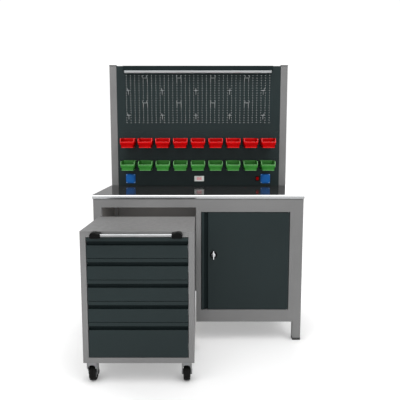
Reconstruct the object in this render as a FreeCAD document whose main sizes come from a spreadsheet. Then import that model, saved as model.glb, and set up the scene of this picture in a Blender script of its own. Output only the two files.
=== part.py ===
import FreeCAD, Part
import os
import re
import Sketcher
from FreeCAD import Placement, Rotation, Vector

# Workbench with a rear frame and a built-in cupboard, and a drawer pedestal on casters
# that rolls into the bay on the left. X runs to the right, Y to the back and Z up, the
# floor is at Z = 0 and the origin lies under the middle of the whole object.

doc = FreeCAD.newDocument("workbench")

# Driving dimensions in millimetres, or degrees for an angle: name, value, meaning
SIZES = (
    ("worktop_width", 1200, "worktop, left to right"),
    ("worktop_depth", 600, "worktop, front to back"),
    ("worktop_height", 855, "floor to the top face of the worktop"),
    ("worktop_thick", 25, "worktop with its skin"),
    ("skin_thick", 1.5, "steel skin round the worktop board"),
    ("nose_radius", 10, "rounding of the worktop's front edges"),
    ("side_overhang", 4, "worktop beyond the legs, each side"),
    ("front_overhang", 2, "worktop beyond the front legs"),
    ("tube_side", 46, "square tube of legs, rails and uprights"),
    ("tube_wall", 2, "wall of the square tube"),
    ("foot_height", 14, "visible part of a plastic foot"),
    ("foot_plug", 20, "part of a foot that sits in the tube"),
    ("plug_gap", 0.1, "clearance of a plug in its tube"),
    ("cabinet_clear", 111, "floor to the underside of the panels and cabinets"),
    ("sheet_thick", 1.5, "sheet steel of the cabinets and panels"),
    ("panel_fold", 14, "folded edge of the rear and side panels"),
    ("side_panel_inset", 23, "outside of the left legs to the face of the side panel"),
    ("cupboard_width", 563, "cupboard between its left face and the right legs"),
    ("stile_width", 28, "face frame beside the door"),
    ("header_height", 26, "face frame above the door"),
    ("plinth_height", 73, "face frame below the door"),
    ("frame_fold", 20, "depth of the folded face frame"),
    ("shelf_height", 300, "cupboard floor to the top of the shelf"),
    ("shelf_lip", 20, "front and rear lip of the shelf"),
    ("shelf_gap", 1, "shelf to the cupboard walls"),
    ("shelf_setback", 40, "face frame to the front of the shelf"),
    ("ledge_width", 12, "ledges that carry the shelf"),
    ("door_gap", 3, "door to the face frame, all round"),
    ("door_thick", 18, "folded door, front to back"),
    ("door_sheet", 1.2, "sheet steel of the door and the drawers"),
    ("grip_lip", 15, "edge of the door beside its grip channel"),
    ("grip_width", 23, "grip channel of the door"),
    ("grip_depth", 13, "depth of the grip channel"),
    ("hinge_inset", 5.5, "pivot axis from the door's front and right faces"),
    ("pin_radius", 2.5, "pivot pin of the door"),
    ("pin_reach", 9, "pin inside the door and inside the frame"),
    ("running_gap", 0.05, "radial clearance of a running fit"),
    ("seat_gap", 0.3, "clearance between faces that slide on each other"),
    ("lock_inset", 69, "left edge of the door to the lock's axis"),
    ("lock_rise", 322.5, "bottom of the door to the lock's axis"),
    ("rosette_radius", 21, "black rosette of the lock"),
    ("rosette_thick", 3.5, "rosette in front of the door"),
    ("barrel_radius", 9, "lock barrel through the door"),
    ("spindle_radius", 4, "spindle that carries the wing and the cam"),
    ("wing_length", 50, "wing of the lock, end to end"),
    ("wing_width", 8, "thickness of the wing"),
    ("wing_reach", 13, "wing in front of the rosette"),
    ("hub_radius", 12, "round middle of the wing"),
    ("hub_reach", 8, "round middle in front of the rosette"),
    ("cam_length", 80, "lock axis to the tip of the cam"),
    ("cam_width", 16, "width of the cam"),
    ("cam_thick", 3, "thickness of the cam"),
    ("total_height", 1660, "floor to the top of the upright caps"),
    ("cap_thick", 5, "plastic cap of an upright"),
    ("cap_overhang", 1, "cap beyond the tube"),
    ("upright_lap", 354, "uprights below the frame rails"),
    ("bolt_radius", 4, "bolts of the uprights"),
    ("bolt_gap", 0.25, "radial clearance of a bolt hole"),
    ("bolt_head_radius", 8, "head of a bolt"),
    ("bolt_head_height", 5.5, "height of a bolt head"),
    ("bolt_pitch", 150, "bolts of an upright, one above the other"),
    ("panel_inset", 2, "front of the uprights to the panels between them"),
    ("panel_return", 20, "folded edge of the panels between the uprights"),
    ("bin_panel_rise", 363.7, "worktop to the top of the bin panel"),
    ("panel_joint", 0.3, "gap between the two panels"),
    ("peg_side_margin", 60, "least distance from the panel's ends to a hole"),
    ("peg_bottom_margin", 60, "least distance from the panel's bottom to a hole"),
    ("peg_pitch_across", 28.3, "holes across, centre to centre"),
    ("peg_pitch_up", 16.4, "holes up, centre to centre"),
    ("peg_radius", 1.6, "radius of a peg hole"),
    ("peg_top_margin", 62, "top of the panel to the first row of holes"),
    ("fittings_shift", -4, "middle of the fittings from the middle of the frame"),
    ("hook_wire", 1.3, "wire radius of the hooks"),
    ("hook_reach", 55, "length of a hook's prong"),
    ("hook_tip", 9, "upturned tip of a prong"),
    ("hook_stem", 26, "stem of a hook against the panel"),
    ("hook_tail", 9, "wire end through a peg hole"),
    ("rail_reach", 9.5, "depth of a bin rail"),
    ("rail_back", 34, "height of a bin rail against the panel"),
    ("rail_lip", 14, "height of a bin rail's lip"),
    ("rail_end_gap", 7, "end of a bin rail to the upright"),
    ("bin_pitch", 116, "bins, centre to centre"),
    ("bin_width", 91, "bin across its rim"),
    ("bin_length", 126, "bin, front to back"),
    ("bin_height", 64, "bin, bottom to rim"),
    ("bin_wall", 2, "wall of a bin"),
    ("bin_taper", 5, "lower part of a bin inside its rim, each side"),
    ("bin_step", 21, "bottom of a bin to its step"),
    ("bin_lip", 40, "bottom of a bin to its front lip"),
    ("bin_scoop", 14, "length of the sloping front opening"),
    ("bin_hook_width", 60, "hook on the back of a bin"),
    ("bin_hook_drop", 11, "hook behind the lip of the rail"),
    ("red_bin_rise", 258, "worktop to the bottom of the red bins"),
    ("bin_row_pitch", 149.4, "red bins to green bins"),
    ("lamp_inset", 65.5, "end of the lamp to the upright"),
    ("lamp_height", 12.3, "height of the lamp"),
    ("lamp_depth", 26, "depth of the lamp's body"),
    ("diffuser_depth", 7, "diffuser in front of the lamp's body"),
    ("hood_margin", 9, "hood beyond the lamp, each end"),
    ("hood_height", 30, "height of the lamp hood"),
    ("hood_reach", 60, "panel to the front of the hood"),
    ("hood_drop", 7, "top of the panel to the top of the hood"),
    ("socket_side", 64, "flange of a power socket"),
    ("socket_flange", 5, "thickness of a socket's flange"),
    ("socket_inset", 88.5, "middle of a power socket to the upright"),
    ("fitting_rise", 47, "worktop to the middle of sockets, outlet and switch"),
    ("socket_box", 44, "side of a socket's body behind the panel"),
    ("socket_box_depth", 34, "depth of a socket's body behind the panel"),
    ("cutout_gap", 1, "panel cut-out round a fitting, each side"),
    ("collar_side", 42, "raised collar of a socket"),
    ("collar_reach", 6, "collar in front of the flange"),
    ("lid_side", 46, "lid of a socket"),
    ("lid_thick", 3.5, "thickness of a socket's lid"),
    ("lid_axis_reach", 9, "panel to the hinge axis of a lid"),
    ("lid_axis_rise", 26.5, "middle of a socket to the hinge axis of its lid"),
    ("knuckle_radius", 3, "hinge knuckle of a lid"),
    ("knuckle_length", 18, "length of a lid's knuckle"),
    ("knuckle_web", 5, "web between a lid and its knuckle, up and back"),
    ("ear_width", 4, "hinge ears of a socket"),
    ("lid_pin_radius", 1.2, "hinge pin of a lid"),
    ("outlet_width", 66, "white data outlet"),
    ("outlet_height", 37, "height of the data outlet"),
    ("outlet_thick", 8, "data outlet in front of the panel"),
    ("outlet_offset", 4, "middle of the frame to the data outlet"),
    ("switch_spread", 54.5, "lamp switch to the middle of the right socket"),
    ("switch_width", 27, "bezel of the switch"),
    ("switch_height", 32, "height of the bezel"),
    ("bezel_thick", 3, "bezel in front of the panel"),
    ("bezel_rim", 3, "rim of the bezel"),
    ("switch_body_depth", 24, "switch behind the panel"),
    ("rocker_gap", 0.5, "rocker to its bezel"),
    ("rocker_rise", 3, "rocker in front of the bezel"),
    ("rocker_depth", 9, "rocker, front to back"),
    ("rocker_slope", 6, "narrowing of the rocker's back, above and below"),
    ("rocker_notch", 1.6, "hollow in the middle of the rocker's face"),
    ("pull_out", 525, "pedestal pulled out of its bay"),
    ("bay_gap", 4, "pedestal to the sides of its bay"),
    ("headroom", 38.5, "pedestal to the rail above it"),
    ("trolley_depth", 434, "pedestal, front to back"),
    ("trolley_stile", 27, "front edge of a pedestal side"),
    ("trolley_fold", 18, "fold behind the pedestal's front edges"),
    ("trolley_header", 27.6, "pedestal above its drawers"),
    ("trolley_rail", 27, "pedestal below its drawers"),
    ("drawer_gap", 2.4, "gaps round the drawer fronts"),
    ("top_front", 96.5, "height of the top drawer front"),
    ("small_front", 100.4, "height of the three drawer fronts below it"),
    ("small_drawers", 3, "drawers of that height"),
    ("front_depth", 18, "depth of a drawer front"),
    ("lip_height", 17, "grip lip of a drawer front"),
    ("groove_height", 19.5, "grip groove of a drawer front"),
    ("rail_space", 13, "room for a runner, each side of a tray"),
    ("tray_length", 388, "drawer tray, front to back"),
    ("tray_lift", 10, "bottom of a front to the bottom of its tray"),
    ("tray_drop", 17, "top of a front to the top of its tray"),
    ("runner_lift", 32, "bottom of a front to its moving rail"),
    ("moving_height", 28, "height of a moving rail"),
    ("moving_setback", 0.5, "moving rail to the web of the fixed rail"),
    ("runner_thick", 1.5, "steel of the runners"),
    ("fixed_width", 7, "width of a fixed rail"),
    ("runner_length", 380, "length of a runner"),
    ("post_width", 30, "slotted posts that carry the runners"),
    ("post_setback", 22, "front and back of the pedestal to the posts"),
    ("handle_radius", 8, "handle tube"),
    ("handle_wall", 1.5, "wall of the handle tube"),
    ("handle_axis_reach", 31, "pedestal front to the handle's axis"),
    ("handle_axis_rise", 13.5, "drawer opening to the handle's axis"),
    ("handle_reach", 44, "pedestal front to the front of the handle brackets"),
    ("bracket_width", 48.5, "handle bracket, left to right"),
    ("bracket_height", 22.5, "handle bracket beside the tube"),
    ("bracket_hump", 27, "handle bracket at its outer side"),
    ("hump_width", 30, "outer side of a handle bracket"),
    ("bracket_lift", 0.8, "drawer opening to the bottom of a bracket"),
    ("bracket_inset", 54, "pedestal side to a bracket"),
    ("bracket_round", 5, "rounding of a bracket"),
    ("tube_socket", 24, "handle tube inside a bracket"),
    ("caster_height", 108, "floor to the underside of the pedestal"),
    ("caster_inset", 37, "pedestal side to a swivel axis"),
    ("caster_setback", 38, "pedestal front or back to a swivel axis"),
    ("plate_side", 62, "mounting plate of a caster"),
    ("plate_thick", 3, "thickness of a caster plate"),
    ("kingpin_radius", 6, "swivel pin of a caster"),
    ("kingpin_head", 10, "head of the swivel pin"),
    ("kingpin_head_thick", 3, "thickness of the pin's head"),
    ("fork_width", 48, "fork of a caster"),
    ("fork_thick", 2.5, "steel of a fork"),
    ("crown_half", 25, "half the crown of a fork, front to back"),
    ("crown_skirt", 12, "front skirt of the crown"),
    ("boss_half", 12.5, "half the foot of a fork leg"),
    ("trail", 18, "swivel axis to the wheel axle"),
    ("wheel_radius", 40, "caster wheel"),
    ("wheel_width", 33, "width of a wheel"),
    ("wheel_round", 4, "rounding of the tread"),
    ("hub_recess", 3, "recess in a wheel's sides"),
    ("rim_radius", 27, "radius of the recess"),
    ("wheel_hub", 14, "radius of the hub"),
    ("axle_radius", 5, "wheel axle"),
    ("axle_head", 12, "radius of an axle's heads"),
    ("axle_head_thick", 1, "thickness of an axle's heads"),
    ("guard_radius", 12, "thread guards of an axle, beside the wheel"),
    ("guard_gap", 0.5, "wheel to a thread guard"),
)

# Places that follow from the dimensions: name, formula
PLACES = (
    ("bench_front", "(pull_out + handle_reach - worktop_depth + front_overhang - tube_side"
                    " - bolt_head_height) / 2"),
    ("bench_back", "bench_front + worktop_depth - front_overhang"),
    ("rail_top", "worktop_height - worktop_thick"),
    ("rail_bottom", "rail_top - tube_side"),
    ("upright_foot", "rail_bottom - upright_lap"),
    ("frame_half", "worktop_width / 2 - side_overhang"),
    ("inner_half", "frame_half - tube_side"),
    ("front_inner", "bench_front + tube_side"),
    ("back_inner", "bench_back - tube_side"),
    ("rear_face", "bench_back - panel_fold"),
    ("cupboard_left", "inner_half - cupboard_width"),
    ("cupboard_back", "bench_front + frame_fold"),
    ("opening_left", "cupboard_left + stile_width"),
    ("opening_right", "inner_half - stile_width"),
    ("opening_bottom", "cabinet_clear + plinth_height"),
    ("opening_top", "rail_bottom - header_height"),
    ("opening_width", "opening_right - opening_left"),
    ("opening_height", "opening_top - opening_bottom"),
    ("door_left", "opening_left + door_gap"),
    ("door_right", "opening_right - door_gap"),
    ("door_bottom", "opening_bottom + door_gap"),
    ("door_width", "door_right - door_left"),
    ("door_height", "opening_height - 2 * door_gap"),
    ("hinge_across", "door_right - hinge_inset"),
    ("hinge_deep", "bench_front + hinge_inset"),
    ("lock_across", "door_left + lock_inset"),
    ("lock_height", "door_bottom + lock_rise"),
    ("panel_face", "bench_back + panel_inset"),
    ("panel_top", "total_height - cap_thick"),
    ("bin_panel_top", "worktop_height + bin_panel_rise"),
    ("peg_bottom", "bin_panel_top + panel_joint"),
    ("peg_panel_height", "panel_top - peg_bottom"),
    ("peg_top", "panel_top - peg_top_margin"),
    ("peg_columns", "floor(2 * (inner_half - peg_side_margin) / peg_pitch_across) + 1"),
    ("peg_rows", "floor((peg_top - peg_bottom - peg_bottom_margin) / peg_pitch_up) + 1"),
    ("rail_length", "2 * (inner_half - rail_end_gap)"),
    ("bin_columns", "floor(rail_length / bin_pitch)"),
    ("bin_back", "panel_face - rail_reach - seat_gap"),
    ("bin_front", "bin_back - bin_length"),
    ("red_bin_height", "worktop_height + red_bin_rise"),
    ("green_bin_height", "red_bin_height - bin_row_pitch"),
    ("rail_below_bin", "bin_height - bin_wall - seat_gap - rail_lip"),
    ("hood_bottom", "panel_top - hood_drop - hood_height"),
    ("lamp_front", "panel_face - hood_reach"),
    ("lamp_length", "2 * (inner_half - lamp_inset)"),
    ("fitting_height", "worktop_height + fitting_rise"),
    ("socket_spread", "2 * (inner_half - socket_inset)"),
    ("switch_offset", "fittings_shift + socket_spread / 2 - switch_spread"),
    ("bay_width", "inner_half + cupboard_left"),
    ("trolley_width", "bay_width - 2 * bay_gap"),
    ("trolley_left", "bay_gap - inner_half"),
    ("trolley_front", "bench_front - pull_out"),
    ("trolley_back", "trolley_front + trolley_depth"),
    ("trolley_top", "rail_bottom - headroom"),
    ("shell_bottom", "caster_height + sheet_thick"),
    ("shell_height", "trolley_top - sheet_thick - shell_bottom"),
    ("drawers_width", "trolley_width - 2 * trolley_stile"),
    ("drawers_top", "trolley_top - trolley_header"),
    ("drawers_bottom", "caster_height + trolley_rail"),
    ("front_width", "drawers_width - 2 * drawer_gap"),
    ("drawer_pitch", "small_front + drawer_gap"),
    ("large_front", "drawers_top - drawers_bottom - top_front - small_drawers * drawer_pitch"
                    " - 3 * drawer_gap"),
    ("tray_width", "drawers_width - 2 * rail_space"),
    ("tray_front", "trolley_front + front_depth"),
    ("fixed_height", "moving_height + 2 * runner_thick + 2 * seat_gap"),
    ("moving_width", "rail_space - runner_thick - moving_setback"),
    ("handle_deep", "trolley_front - handle_axis_reach"),
    ("handle_up", "drawers_top + handle_axis_rise"),
    ("bracket_bottom", "drawers_top + bracket_lift"),
    ("fork_top", "caster_height - plate_thick - seat_gap"),
)

WORD = re.compile("[a-z][a-z_]*")
HOME = {name: "size." for name, value, meaning in SIZES}
HOME.update({name: "place." for name, formula in PLACES})


def full(expression):
    """Puts the name of its sheet before each known word of an expression."""
    return WORD.sub(lambda word: HOME.get(word.group(), "") + word.group(), expression)


def in_place_sheet(formula):
    """As full, for a formula that stands on the sheet of places itself."""
    return "=" + full(formula).replace("place.", "")


size = doc.addObject("Spreadsheet::Sheet", "size")
for row, (name, value, meaning) in enumerate(SIZES, 1):
    size.set("A%d" % row, meaning)
    size.set("B%d" % row, str(value))
    size.setAlias("B%d" % row, name)

place = doc.addObject("Spreadsheet::Sheet", "place")
for row, (name, formula) in enumerate(PLACES, 1):
    place.set("B%d" % row, in_place_sheet(formula))
    place.setAlias("B%d" % row, name)
doc.recompute()


def number(name):
    """The value of a dimension or a place, for shapes that Part's own functions make."""
    return float(getattr(size if HOME[name] == "size." else place, name))


# Helpers: each takes sizes and places as expressions over the two sheets

def bind(obj, **expressions):
    for prop, expression in expressions.items():
        obj.setExpression(prop, full(expression))
    return obj


def put(obj, across="0", deep="0", up="0", turn="0", axis=Vector(0, 0, 1)):
    """Places an object: its origin, and a turn in degrees about an axis through it."""
    if turn != "0":
        obj.Placement = Placement(Vector(0, 0, 0), Rotation(axis, 1))
        obj.setExpression("Placement.Rotation.Angle", full(turn))
    for letter, expression in zip("xyz", (across, deep, up)):
        if expression != "0":
            obj.setExpression("Placement.Base." + letter, full(expression))
    return obj


def block(width, depth, height, across="0", deep="0", up="0"):
    obj = bind(doc.addObject("Part::Box", "block"), Length=width, Width=depth, Height=height)
    return put(obj, across, deep, up)


TURNS = {"x": Rotation(Vector(0, 1, 0), 90), "y": Rotation(Vector(1, 0, 0), -90),
         "z": Rotation()}


def rod(radius, length, across="0", deep="0", up="0", along="z"):
    """A cylinder that starts at the given place and runs along X, Y or Z."""
    obj = bind(doc.addObject("Part::Cylinder", "rod"), Radius=radius, Height=length)
    obj.Placement = Placement(Vector(0, 0, 0), TURNS[along])
    return put(obj, across, deep, up)


def fuse(*parts):
    obj = doc.addObject("Part::MultiFuse", "fuse")
    obj.Shapes = list(parts)
    return obj


def cut(base, *tools):
    obj = doc.addObject("Part::Cut", "cut")
    obj.Base = base
    obj.Tool = tools[0] if len(tools) == 1 else fuse(*tools)
    return obj


def group(*parts):
    """Pieces that share one node and stay separate solids."""
    obj = doc.addObject("Part::Compound", "group")
    obj.Links = list(parts)
    return obj


def shape_feature(name, shape):
    obj = doc.addObject("Part::Feature", name)
    obj.Shape = shape
    return obj


def round_edges(base, radius, chosen):
    """Rounds the edges of a recomputed object that the function chosen picks."""
    doc.recompute()
    edges = [i for i, edge in enumerate(base.Shape.Edges, 1) if chosen(edge)]
    obj = doc.addObject("Part::Fillet", "fillet")
    obj.Base = base
    obj.Edges = [(i, number(radius), number(radius)) for i in edges]
    return obj


def profile(plane, corners, length):
    """A PartDesign body: a closed outline of corners, all of them at or above zero,
    padded by a length along X (YZ outline), along Z (XY) or towards -Y (XZ)."""
    body = doc.addObject("PartDesign::Body", "body")
    sketch = body.newObject("Sketcher::SketchObject", "outline")
    role = plane + "_Plane"
    origin_plane = [f for f in body.Origin.OriginFeatures if f.Role == role][0]
    sketch.AttachmentSupport = [(origin_plane, "")]
    sketch.MapMode = "FlatFace"
    count = len(corners)
    start = [Vector(10.0 * (i % 3) + i, 7.0 * i, 0) for i in range(count)]
    for i in range(count):
        sketch.addGeometry(Part.LineSegment(start[i], start[(i + 1) % count]), False)
    for i in range(count):
        sketch.addConstraint(Sketcher.Constraint("Coincident", i, 2, (i + 1) % count, 1))
    for i, (first, second) in enumerate(corners):
        for kind, expression, axis in (("DistanceX", first, -2), ("DistanceY", second, -1)):
            if expression == "0":
                sketch.addConstraint(Sketcher.Constraint("PointOnObject", i, 1, axis))
                continue
            index = sketch.addConstraint(Sketcher.Constraint(kind, -1, 1, i, 1, 1.0 + i))
            sketch.setExpression("Constraints[%d]" % index, full(expression))
    pad = body.newObject("PartDesign::Pad", "pad")
    pad.Profile = sketch
    bind(pad, Length=length)
    body.Tip = pad
    return body


def channel(plane, depth, height, thick, length):
    """A folded channel whose web stands at zero and whose two flanges run outwards."""
    inner = "%s - %s" % (height, thick)
    return profile(plane, (("0", "0"), (depth, "0"), (depth, thick), (thick, thick),
                           (thick, inner), (depth, inner), (depth, height), ("0", height)),
                   length)


def square_tube(length, across, deep, up, along):
    """The frame's square tube, open at both ends, laid along X, Y or Z."""
    outer = {"x": [length, "tube_side", "tube_side"], "y": ["tube_side", length, "tube_side"],
             "z": ["tube_side", "tube_side", length]}[along]
    inner = [side if side == length else side + " - 2 * tube_wall" for side in outer]
    spots = [spot if side == length else spot + " + tube_wall"
             for side, spot in zip(outer, (across, deep, up))]
    return cut(block(*outer, across, deep, up), block(*inner, *spots))


NODES = {}


def node(name, obj):
    obj.Label = name
    NODES[name] = obj
    return obj


# Worktop

def make_board():
    """The board inside the skin, set back behind the rounded front."""
    return block("worktop_width - 2 * skin_thick", "worktop_depth - nose_radius - skin_thick",
                 "worktop_thick - skin_thick", "skin_thick - worktop_width / 2",
                 "bench_front - front_overhang + nose_radius", "rail_top")


def make_worktop():
    outer = block("worktop_width", "worktop_depth", "worktop_thick",
                  "-worktop_width / 2", "bench_front - front_overhang", "rail_top")
    rounded = round_edges(outer, "nose_radius", long_front_edge)
    node("worktop_skin", cut(rounded, make_board()))
    node("worktop_core", make_board())


def long_front_edge(edge):
    """The two long edges at the front of the worktop."""
    box = edge.BoundBox
    return box.XLength > number("worktop_width") / 2 and box.YMax < number("bench_front")


# Frame

def bolt_heights():
    """Heights of the bolts that hold an upright to its rear leg."""
    return ["rail_bottom - bolt_pitch * %d + tube_side / 2" % i for i in range(3)]


def bolt_holes(across):
    """Holes from inside a rear leg through the upright behind it."""
    return [rod("bolt_radius + bolt_gap", "3 * tube_wall + tube_side",
                across, "bench_back - 2 * tube_wall", height, "y") for height in bolt_heights()]


def make_frame():
    left = "-frame_half"
    right = "inner_half"
    middles = {left: "tube_side / 2 - frame_half", right: "frame_half - tube_side / 2"}
    legs = []
    feet = []
    uprights = []
    bolts = []
    caps = []
    for across in (left, right):
        for deep in ("bench_front", "back_inner"):
            leg = square_tube("rail_top - foot_height", across, deep, "foot_height", "z")
            if deep == "back_inner":
                leg = cut(leg, *bolt_holes(middles[across]))
            legs.append(leg)
            plug = "tube_side - 2 * tube_wall - 2 * plug_gap"
            inset = " + tube_wall + plug_gap"
            feet.append(fuse(
                block("tube_side", "tube_side", "foot_height", across, deep),
                block(plug, plug, "foot_plug", across + inset, deep + inset, "foot_height")))
        upright = square_tube("panel_top - upright_foot", across, "bench_back",
                              "upright_foot", "z")
        uprights.append(cut(upright, *bolt_holes(middles[across])))
        caps.append(block("tube_side + 2 * cap_overhang", "tube_side + 2 * cap_overhang",
                          "cap_thick", across + " - cap_overhang",
                          "bench_back - cap_overhang", "panel_top"))
        for height in bolt_heights():
            shank = rod("bolt_radius", "tube_side + 2 * tube_wall", middles[across],
                        "bench_back - 2 * tube_wall", height, "y")
            head = rod("bolt_head_radius", "bolt_head_height", middles[across],
                       "bench_back + tube_side", height, "y")
            bolts.append(fuse(shank, head))
    node("legs", group(*legs))
    node("leg_feet", group(*feet))
    node("uprights", group(*uprights))
    node("upright_caps", group(*caps))
    node("frame_bolts", group(*bolts))
    side_length = "back_inner - front_inner"
    node("frame_rails", group(
        square_tube("2 * inner_half", "-inner_half", "bench_front", "rail_bottom", "x"),
        square_tube("2 * inner_half", "-inner_half", "back_inner", "rail_bottom", "x"),
        square_tube(side_length, "-frame_half", "front_inner", "rail_bottom", "y"),
        square_tube(side_length, "inner_half", "front_inner", "rail_bottom", "y"),
        square_tube(side_length, "cupboard_left", "front_inner", "rail_bottom", "y")))


def make_lower_panels():
    height = "rail_bottom - cabinet_clear"
    rear = channel("YZ", "panel_fold", height, "sheet_thick", "2 * inner_half")
    node("rear_panel", put(rear, "-inner_half", "rear_face", "cabinet_clear"))
    side = channel("XZ", "panel_fold", height, "sheet_thick", "back_inner - front_inner")
    node("side_panel", put(side, "side_panel_inset - frame_half", "front_inner",
                           "cabinet_clear", "180"))


# Cupboard

def make_cupboard():
    height = "rail_bottom - cabinet_clear"
    depth = "rear_face - cupboard_back"
    ledge_deep = "cupboard_back + shelf_setback"
    ledge_up = "opening_bottom + shelf_height - shelf_lip - sheet_thick"
    ledge_depth = depth + " - 2 * shelf_setback"
    sides = []
    for sheet_left, ledge_left in (
            ("cupboard_left", "cupboard_left + sheet_thick"),
            ("inner_half - sheet_thick", "inner_half - sheet_thick - ledge_width")):
        sides.append(block("sheet_thick", depth, height, sheet_left, "cupboard_back",
                           "cabinet_clear"))
        sides.append(block("ledge_width", ledge_depth, "sheet_thick", ledge_left, ledge_deep,
                           ledge_up))
    node("cupboard_sides", group(*sides))
    inner_width = "cupboard_width - 2 * sheet_thick"
    node("cupboard_floor", block(inner_width, depth, "sheet_thick",
                                 "cupboard_left + sheet_thick", "cupboard_back",
                                 "opening_bottom - sheet_thick"))
    shelf_width = inner_width + " - 2 * shelf_gap"
    shelf_depth = depth + " - shelf_setback - shelf_gap"
    across = "cupboard_left + sheet_thick + shelf_gap"
    up = "opening_bottom + shelf_height - shelf_lip"
    node("cupboard_shelf", cut(
        block(shelf_width, shelf_depth, "shelf_lip", across, ledge_deep, up),
        block(shelf_width, shelf_depth + " - 2 * sheet_thick", "shelf_lip - sheet_thick",
              across, ledge_deep + " + sheet_thick", up)))
    make_face_frame()


def make_face_frame():
    """Folded frame round the door, hollow from behind."""
    height = "rail_bottom - cabinet_clear"
    outer = block("cupboard_width", "frame_fold", height, "cupboard_left", "bench_front",
                  "cabinet_clear")
    opening = block("opening_width", "frame_fold", "opening_height", "opening_left",
                    "bench_front", "opening_bottom")
    hollow = cut(
        block("cupboard_width - 2 * sheet_thick", "frame_fold - sheet_thick",
              height + " - 2 * sheet_thick", "cupboard_left + sheet_thick",
              "bench_front + sheet_thick", "cabinet_clear + sheet_thick"),
        block("opening_width + 2 * sheet_thick", "frame_fold",
              "opening_height + 2 * sheet_thick", "opening_left - sheet_thick",
              "bench_front", "opening_bottom - sheet_thick"))
    pins = [rod("pin_radius + running_gap", "3 * sheet_thick", "hinge_across", "hinge_deep",
                up + " - 2 * sheet_thick") for up in ("opening_bottom", "opening_top + sheet_thick")]
    node("cupboard_frame", cut(outer, opening, hollow, *pins))
    node("hinge_pins", group(
        rod("pin_radius", "2 * pin_reach + door_gap", "hinge_across", "hinge_deep",
            "opening_bottom - pin_reach"),
        rod("pin_radius", "2 * pin_reach + door_gap", "hinge_across", "hinge_deep",
            "opening_top - pin_reach - door_gap")))


# Door

def make_door():
    """Folded door with a grip channel down its left edge, open at the back."""
    outer = block("door_width", "door_thick", "door_height", "door_left", "bench_front",
                  "door_bottom")
    grip_left = "door_left + grip_lip"
    groove = block("grip_width", "grip_depth", "door_height", grip_left, "bench_front",
                   "door_bottom")
    inner_height = "door_height - 2 * door_sheet"
    inner_up = "door_bottom + door_sheet"
    behind = "bench_front + door_sheet"
    main = block("door_width - grip_lip - grip_width - 2 * door_sheet",
                 "door_thick - door_sheet", inner_height,
                 grip_left + " + grip_width + door_sheet", behind, inner_up)
    edge = block("grip_lip - 2 * door_sheet", "door_thick - door_sheet", inner_height,
                 "door_left + door_sheet", behind, inner_up)
    across = block("door_width - 2 * door_sheet", "door_thick - grip_depth - door_sheet",
                   inner_height, "door_left + door_sheet",
                   "bench_front + grip_depth + door_sheet", inner_up)
    pins = [rod("pin_radius + running_gap", "door_sheet", "hinge_across", "hinge_deep", up)
            for up in ("door_bottom", "door_bottom + door_height - door_sheet")]
    barrel = rod("barrel_radius + running_gap", "door_sheet", "lock_across", "bench_front",
                 "lock_height", "y")
    node("door", cut(outer, groove, main, edge, across, barrel, *pins))
    make_lock()


def make_lock():
    front = "bench_front - rosette_thick"
    rosette = fuse(rod("rosette_radius", "rosette_thick", "lock_across", front,
                       "lock_height", "y"),
                   rod("barrel_radius", "door_thick + 2 * door_sheet", "lock_across",
                       "bench_front", "lock_height", "y"))
    bore_length = "rosette_thick + door_thick + 2 * door_sheet"
    bore = rod("spindle_radius + running_gap", bore_length, "lock_across", front,
               "lock_height", "y")
    node("lock_rosette", cut(rosette, bore))
    wing_deep = front + " - seat_gap - wing_reach"
    hub = rod("hub_radius", "hub_reach", "lock_across", front + " - seat_gap - hub_reach",
              "lock_height", "y")
    wing = block("wing_width", "wing_reach", "wing_length",
                 "lock_across - wing_width / 2", wing_deep, "lock_height - wing_length / 2")
    cam_deep = "bench_front + door_thick + 2 * door_sheet + seat_gap"
    spindle = rod("spindle_radius", bore_length + " + 2 * seat_gap + cam_thick",
                  "lock_across", front + " - seat_gap", "lock_height", "y")
    cam = cut(block("cam_width", "cam_thick", "cam_length + cam_width / 2",
                    "lock_across - cam_width / 2", cam_deep, "lock_height - cam_length"),
              rod("spindle_radius", "cam_thick", "lock_across", cam_deep, "lock_height", "y"))
    node("lock_turn", group(fuse(hub, wing, spindle), cam))


# Rear frame: panels, hooks, bins, lamp and electrical fittings

def peg_spots():
    """Centres of the peg holes, as pairs of distances across and up."""
    columns = int(number("peg_columns"))
    left = number("fittings_shift") - (columns - 1) * number("peg_pitch_across") / 2
    return [(left + i * number("peg_pitch_across"), number("peg_top") - j * number("peg_pitch_up"))
            for j in range(int(number("peg_rows"))) for i in range(columns)]


def holed_sheet(left, right, spots):
    """An upright strip of the perforated sheet with the holes that lie on it."""
    deep = number("panel_face")
    bottom = number("peg_bottom")
    top = number("panel_top")
    rim = Part.makePolygon([Vector(x, deep, z) for x, z in (
        (left, bottom), (right, bottom), (right, top), (left, top), (left, bottom))])
    facing = Vector(0, 1, 0)
    holes = [Part.Wire(Part.makeCircle(number("peg_radius"), Vector(x, deep, z), facing))
             for x, z in spots if left < x < right]
    face = Part.Face([rim] + holes)
    face.validate()
    return face.extrude(facing * number("sheet_thick"))


def make_peg_panel():
    """Perforated sheet with folded edges."""
    half = number("inner_half")
    bottom = number("peg_bottom")
    sheet = number("sheet_thick")
    spots = peg_spots()
    pitch = number("peg_pitch_across")
    cuts = [spots[i][0] - pitch / 2 for i in range(STRIP_COLUMNS, int(number("peg_columns")),
                                                   STRIP_COLUMNS)]
    limits = [-half] + cuts + [half]
    strips = [holed_sheet(left, right, spots) for left, right in zip(limits, limits[1:])]
    fold = number("panel_return") - sheet
    height = number("peg_panel_height")
    behind = number("panel_face") + sheet
    top = bottom + height - sheet
    edges = [Part.makeBox(2 * half, fold, sheet, Vector(-half, behind, bottom)),
             Part.makeBox(2 * half, fold, sheet, Vector(-half, behind, top)),
             Part.makeBox(sheet, fold, height, Vector(-half, behind, bottom)),
             Part.makeBox(sheet, fold, height, Vector(half - sheet, behind, bottom))]
    node("peg_panel", shape_feature("peg_panel", strips[0].fuse(strips[1:] + edges)))


STRIP_COLUMNS = 5


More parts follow.
